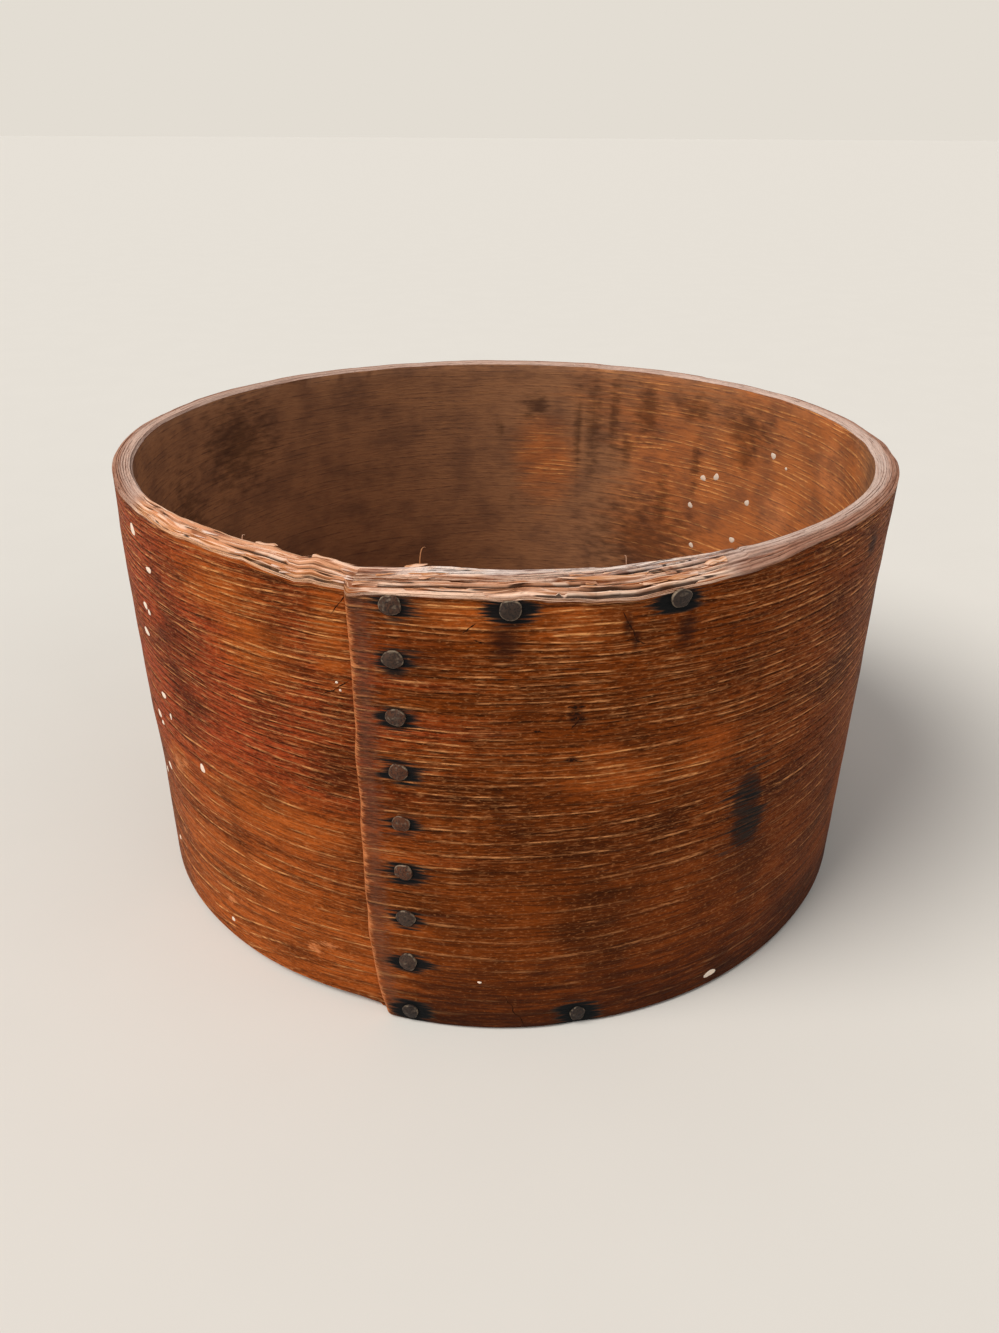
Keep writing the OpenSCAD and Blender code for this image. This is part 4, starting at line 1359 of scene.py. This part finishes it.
def stained_ash_inside(paints):
    """The same strip inside, never oiled: rubbed by grain to a dull brown, with dark old stains and, between
    them, painted light, warm orange with painted highlights, on the right of the inside where the wall faces
    the key light, where pale growth lines show, and chipped pale along the upper edge."""
    material, tree = new_material("Bent ash, grain-worn inside", IOR=1.48, Specular_IOR_Level=0.12)
    place = wavy_grain(tree)
    noise = drawn_patterns(tree, place, INSIDE_PATTERNS)
    lines, shaded_grooves, _ = grain_lines(tree, place, 1.0, 30, 51)
    mixed = add_node(tree, MATH, [noise.streak, 0.5, noise.broad], operation="MULTIPLY_ADD")
    dark = add_node(tree, MATH, [noise.torn, 0.4, noise.stain], operation="MULTIPLY_ADD")
    # Painted light on the inside wall that faces the key light
    lit_wall = field_mask(tree, "gold", mixed, 1.6, -0.2, 0.9)
    seen = add_node(tree, MATH, [lit_wall, 0.95, 0.1], operation="MULTIPLY_ADD")
    pale_lines = add_node(tree, MATH, [lines, seen], operation="MULTIPLY")
    wood = layered(tree, paints, "inner_mid",
                   ("inner_lit", lit_wall, 1.0),
                   # Painted highlights at the brightest of the lit inside wall
                   ("rubbed_edge_and_highlight", field_mask(tree, "gold", noise.fine, 0.6, 0.9, 2.0), 0.6),
                   ("inner_dark", sharpened(tree, noise.fine, 0.5, 0.72), 0.25),
                   # Painted shadow in the groove beside each growth line
                   ("inner_dark", shaded_grooves, 0.6),
                   ("gold_line", pale_lines, 1.0),
                   ("inner_dark", sharpened(tree, dark, 0.5, 1.02), 0.58),
                   # Old stains, and painted shade in the wide spot at 146 degrees
                   ("grime", field_mask(tree, "grime", noise.torn, 1.7, -0.2, 0.95), 0.56),
                   ("iron_stain", field_mask(tree, "iron", noise.fine, 0.8, 0.1, 0.6), 0.7),
                   ("raw", field_mask(tree, "bare", noise.fine, 1.0, -0.1, 0.3), 1.0))
    rough = add_node(tree, MATH, [noise.fine, 0.25, 0.5], operation="MULTIPLY_ADD")
    height = add_node(tree, MATH, [noise.streak, 0.6, noise.fine], operation="MULTIPLY_ADD")
    return dressed(material, wood, rough, height)


def splintered_ash(paints):
    """Ash torn along the grain: bare pale fibre in fine parallel lines, a little greyed."""
    material, tree = new_material("Bare ash, torn fibre", IOR=1.5, Roughness=0.75, Specular_IOR_Level=0.12)
    grain = add_node(tree, "ShaderNodeUVMap", uv_map="grain")
    noise = drawn_patterns(tree, grain, SPLINTER_PATTERNS)
    wood = layered(tree, paints, "raw",
                   ("raw_pale", sharpened(tree, noise.fibre, 0.4, 0.65), 0.6),
                   ("grey", sharpened(tree, noise.patch, 0.5, 0.7), 0.6))
    return dressed(material, wood, height=noise.fibre, depth=0.1 * MM)


def dirty_crack(paints):
    """The depth of a crack: dark dirt in broken wood, matt."""
    material, tree = new_material("Dirt in cracked ash", Roughness=0.9, Specular_IOR_Level=0.05)
    crumbs = solid_noise(tree, 0.7, 2.0)
    dirt = layered(tree, paints, "crack", ("brown_oil", sharpened(tree, crumbs, 0.5, 0.75), 0.6))
    return dressed(material, dirt)


def bare_pine(paints):
    """Flat-sawn pine, planed and left bare: soft early growth, darker late growth in long lines, and darker
    towards the wall."""
    material, tree = new_material("Bare pine board, aged", IOR=1.48, Specular_IOR_Level=0.2)
    place = add_node(tree, COORDINATES, output="Object")
    noise = drawn_patterns(tree, place, BOARD_PATTERNS)
    growth = add_node(tree, MATH, [noise.rings, 60.0], operation="MULTIPLY")
    late = add_node(tree, MATH, [growth], operation="SINE")
    outward = add_node(tree, FIELD, attribute_name="outward", output="Fac")
    uneven = add_node(tree, MATH, [noise.blotch, 0.2, outward], operation="MULTIPLY_ADD")
    wood = layered(tree, paints, "board",
                   ("board_dark", sharpened(tree, late, 0.1, 0.95), 0.7),
                   ("board_dark", sharpened(tree, noise.fine, 0.5, 0.7), 0.4),
                   ("inner_dark", sharpened(tree, noise.blotch, 0.45, 0.7), 0.55),
                   # Darker towards the wall
                   ("grime", sharpened(tree, uneven, 0.92, 1.1), 0.8))
    rough = add_node(tree, MATH, [noise.fine, 0.2, 0.58], operation="MULTIPLY_ADD")
    height = add_node(tree, MATH, [late, 0.3, noise.fine], operation="MULTIPLY_ADD")
    return dressed(material, wood, rough, height, 0.6)


def spattered_paint(paints):
    """Old oil paint in dried drops: off-white, a little chalky, dirty in places."""
    material, tree = new_material("Dried oil paint", IOR=1.5, Specular_IOR_Level=0.3)
    chalk = solid_noise(tree, 0.8, 3.0)
    paint = layered(tree, paints, "fleck", ("raw_pale", sharpened(tree, chalk, 0.45, 0.75), 1.0))
    return dressed(material, paint, add_node(tree, MATH, [chalk, 0.3, 0.45], operation="MULTIPLY_ADD"))


def forged_iron(paints):
    """Wrought iron, hammered, blackened and lightly rusted: dull and mottled on the crown, with paler specks
    that are partly painted glints, and rubbed to bright metal along the burred edge, partly a painted
    highlight."""
    material, tree = new_material("Forged iron, rusted", Metallic=0.3, Specular_IOR_Level=0.3)
    mottle = solid_noise(tree, 1.3, 4.0)
    grit = solid_noise(tree, 0.45, 3.0)
    rust = add_node(tree, FIELD, attribute_name="rust", output="Fac")
    # The burred edge, rubbed and painted bright as a highlight
    rubbed = add_node(tree, FIELD, attribute_name="rubbed", output="Fac")
    bright = add_node(tree, MATH, [rubbed, sharpened(tree, mottle, 0.6, 0.42)], operation="MULTIPLY")
    metal = layered(tree, paints, "iron",
                    ("rust", field_mask(tree, "rust", mottle, 1.2, 0.2, 0.9), 1.0),
                    ("iron_stain", sharpened(tree, grit, 0.46, 0.64), 0.62),
                    ("iron_worn_and_glint", sharpened(tree, mottle, 0.44, 0.28), 0.42),
                    ("iron_stain", sharpened(tree, rust, 0.0, -1.0), 0.7),
                    ("iron_worn_and_glint", bright, 1.0))
    rough = add_node(tree, MATH, [grit, 0.3, 0.48], operation="MULTIPLY_ADD")
    return dressed(material, metal, rough, grit, 0.6)


# How dark the floor's paper is in its hollows
PAPER_SHADE = 0.97


def studio_floor(paints):
    """Matt seamless paper: pale, even and nearly without gloss."""
    material, tree = new_material("Matt studio paper", Roughness=0.9, Specular_IOR_Level=0.1)
    tooth = solid_noise(tree, 40, 3.0)
    darker = tuple(PAPER_SHADE * c for c in paints.floor[:3]) + (1.0,)
    return dressed(material, layered(tree, paints, darker, ("floor", tooth, 1.0)))


# Operators

class MEASURE_OT_hoop(bpy.types.Operator):
    """Build the bent hoop with its lap, worn rim and stains"""
    bl_idname = "measure.hoop"
    bl_label = "Bent hoop"

    def execute(self, context):
        paints = context.scene.measure_paints
        materials = [oiled_ash_outside(paints), stained_ash_inside(paints)]
        make_hoop(context.scene.measure_hoop, nail_places(), materials)
        return {"FINISHED"}


class MEASURE_OT_splinters(bpy.types.Operator):
    """Build the slivers torn up along the rim"""
    bl_idname = "measure.splinters"
    bl_label = "Rim splinters"

    def execute(self, context):
        make_splinters(context.scene.measure_hoop, splintered_ash(context.scene.measure_paints))
        return {"FINISHED"}


class MEASURE_OT_cracks(bpy.types.Operator):
    """Build the cracks in the oiled face"""
    bl_idname = "measure.cracks"
    bl_label = "Cracks"

    def execute(self, context):
        dirt = dirty_crack(context.scene.measure_paints)
        make_cracks(context.scene.measure_hoop, nail_places(), dirt)
        return {"FINISHED"}


class MEASURE_OT_board(bpy.types.Operator):
    """Build the base board"""
    bl_idname = "measure.board"
    bl_label = "Base board"

    def execute(self, context):
        make_board(bare_pine(context.scene.measure_paints))
        return {"FINISHED"}


class MEASURE_OT_flecks(bpy.types.Operator):
    """Build the spattered paint"""
    bl_idname = "measure.flecks"
    bl_label = "Paint flecks"

    def execute(self, context):
        paint = spattered_paint(context.scene.measure_paints)
        make_flecks(context.scene.measure_hoop, nail_places(), paint)
        return {"FINISHED"}


class MEASURE_OT_nails(bpy.types.Operator):
    """Build the forged nails of the lap, the rim and the base"""
    bl_idname = "measure.nails"
    bl_label = "Forged nails"

    def execute(self, context):
        material = forged_iron(context.scene.measure_paints)
        for order, (node, place) in enumerate(nail_places().items()):
            make_nail(context.scene.measure_nails, node, place, order, material)
        return {"FINISHED"}


# Lamps: the direction that each shines from, how many degrees of the sky it fills and its tint
KEY_LAMP = ((-0.95, -0.5, 1.3), 34, (1.0, 0.96, 0.9))
FILL_LAMP = ((1.2, -0.7, 0.6), 60, (1.0, 0.98, 0.96))
SKY_TINT = (1.0, 0.985, 0.96, 1.0)
# Rings and sectors of the floor
FLOOR_RINGS = 9
FLOOR_SECTORS = 48
# Camera: width of its sensor in millimetres, and the nearest thing it sees in metres
SENSOR_W = 36
NEAREST = 0.01


def lay_floor(scene):
    """Builds the floor, a flat disc of rings and sectors."""
    radius = scene.measure_stage.floor_r * np.linspace(0, 1, FLOOR_RINGS)[:, None]
    theta = np.linspace(0, FULL_TURN, FLOOR_SECTORS, endpoint=False)[None, :]
    points = np.stack([radius * np.cos(theta), radius * np.sin(theta), 0 * radius * theta], -1)
    floor = build_mesh("floor", points, ring_faces(1, FLOOR_RINGS, FLOOR_SECTORS).tolist())
    merge_poles(floor)
    floor.data.materials.append(studio_floor(scene.measure_paints))


def light_sky(scene):
    """Gives even light from all round; what is seen of it, straight or mirrored, is the pale backdrop."""
    world = bpy.data.worlds.new("Studio")
    scene.world = world
    world.use_nodes = True
    tree = world.node_tree
    sky = tree.nodes["Background"]
    sky.inputs["Color"].default_value = SKY_TINT
    sky.inputs["Strength"].default_value = scene.measure_stage.sky_level
    from_camera = add_node(tree, "ShaderNodeLightPath", output="Is Camera Ray")
    rays = from_camera.node.outputs
    mirrored = add_node(tree, MATH, [rays["Is Glossy Ray"], rays["Is Transmission Ray"]], operation="ADD")
    seen = add_node(tree, MATH, [from_camera, mirrored], operation="ADD", use_clamp=True)
    backdrop = add_node(tree, "ShaderNodeBackground", {"Color": tuple(scene.measure_paints.backdrop)})
    shown = add_node(tree, "ShaderNodeMixShader", [seen, sky.outputs[0], backdrop])
    tree.links.new(shown, tree.nodes["World Output"].inputs["Surface"])


def add_lamp(name, level, source, spread, tint):
    """A broad far lamp that shines from the direction of source, over a spread of the sky."""
    lamp = bpy.data.lights.new(name, "SUN")
    lamp.energy = level
    lamp.angle = math.radians(spread)
    lamp.color = tint
    holder = bpy.data.objects.new(name, lamp)
    holder.rotation_euler = Vector(source).to_track_quat("Z", "Y").to_euler()
    bpy.context.scene.collection.objects.link(holder)


def set_camera(scene):
    """Puts the camera where the photograph was taken from."""
    stage = scene.measure_stage
    lens = bpy.data.cameras.new("camera")
    lens.sensor_width = SENSOR_W
    lens.lens = SENSOR_W * FOCAL_PX / PHOTO_H
    lens.clip_start = NEAREST
    camera = bpy.data.objects.new("camera", lens)
    tilt = Matrix.Rotation(QUARTER_TURN - stage.camera_pitch, 4, "X")
    roll = Matrix.Rotation(stage.camera_roll, 4, "Z")
    camera.matrix_world = Matrix.Translation(stage.camera_place) @ tilt @ roll
    scene.collection.objects.link(camera)
    scene.camera = camera


class MEASURE_OT_stage(bpy.types.Operator):
    """Build the floor, the soft lamps and the camera"""
    bl_idname = "measure.stage"
    bl_label = "Stage"

    def execute(self, context):
        scene = context.scene
        scene.view_settings.view_transform = "Standard"
        lay_floor(scene)
        light_sky(scene)
        add_lamp("key", scene.measure_stage.key_level, *KEY_LAMP)
        add_lamp("fill", scene.measure_stage.fill_level, *FILL_LAMP)
        set_camera(scene)
        return {"FINISHED"}


class MEASURE_PT_panel(bpy.types.Panel):
    """Lists the pieces of the measure"""
    bl_idname = "MEASURE_PT_panel"
    bl_label = "Grain measure"
    bl_space_type = "VIEW_3D"
    bl_region_type = "UI"
    bl_category = "Grain measure"

    def draw(self, context):
        for operator in OPERATORS:
            self.layout.operator(operator.bl_idname)


OPERATORS = (MEASURE_OT_hoop, MEASURE_OT_splinters, MEASURE_OT_cracks, MEASURE_OT_board, MEASURE_OT_nails,
             MEASURE_OT_flecks, MEASURE_OT_stage)
GROUPS = {"measure_hoop": HoopSizes, "measure_nails": NailSizes, "measure_paints": Paints,
          "measure_stage": StageSettings}


def register():
    """Registers the sizes, the operators and the panel."""
    for name, group in GROUPS.items():
        bpy.utils.register_class(group)
        setattr(bpy.types.Scene, name, PointerProperty(type=group))
    for cls in (*OPERATORS, MEASURE_PT_panel):
        bpy.utils.register_class(cls)


def unregister():
    """Takes them out again, last first."""
    for cls in reversed((*OPERATORS, MEASURE_PT_panel)):
        bpy.utils.unregister_class(cls)
    for name, group in reversed(GROUPS.items()):
        delattr(bpy.types.Scene, name)
        bpy.utils.unregister_class(group)


def main():
    register()
    for operator in OPERATORS:
        group, name = operator.bl_idname.split(".")
        getattr(getattr(bpy.ops, group), name)()


if __name__ == "__main__":
    main()
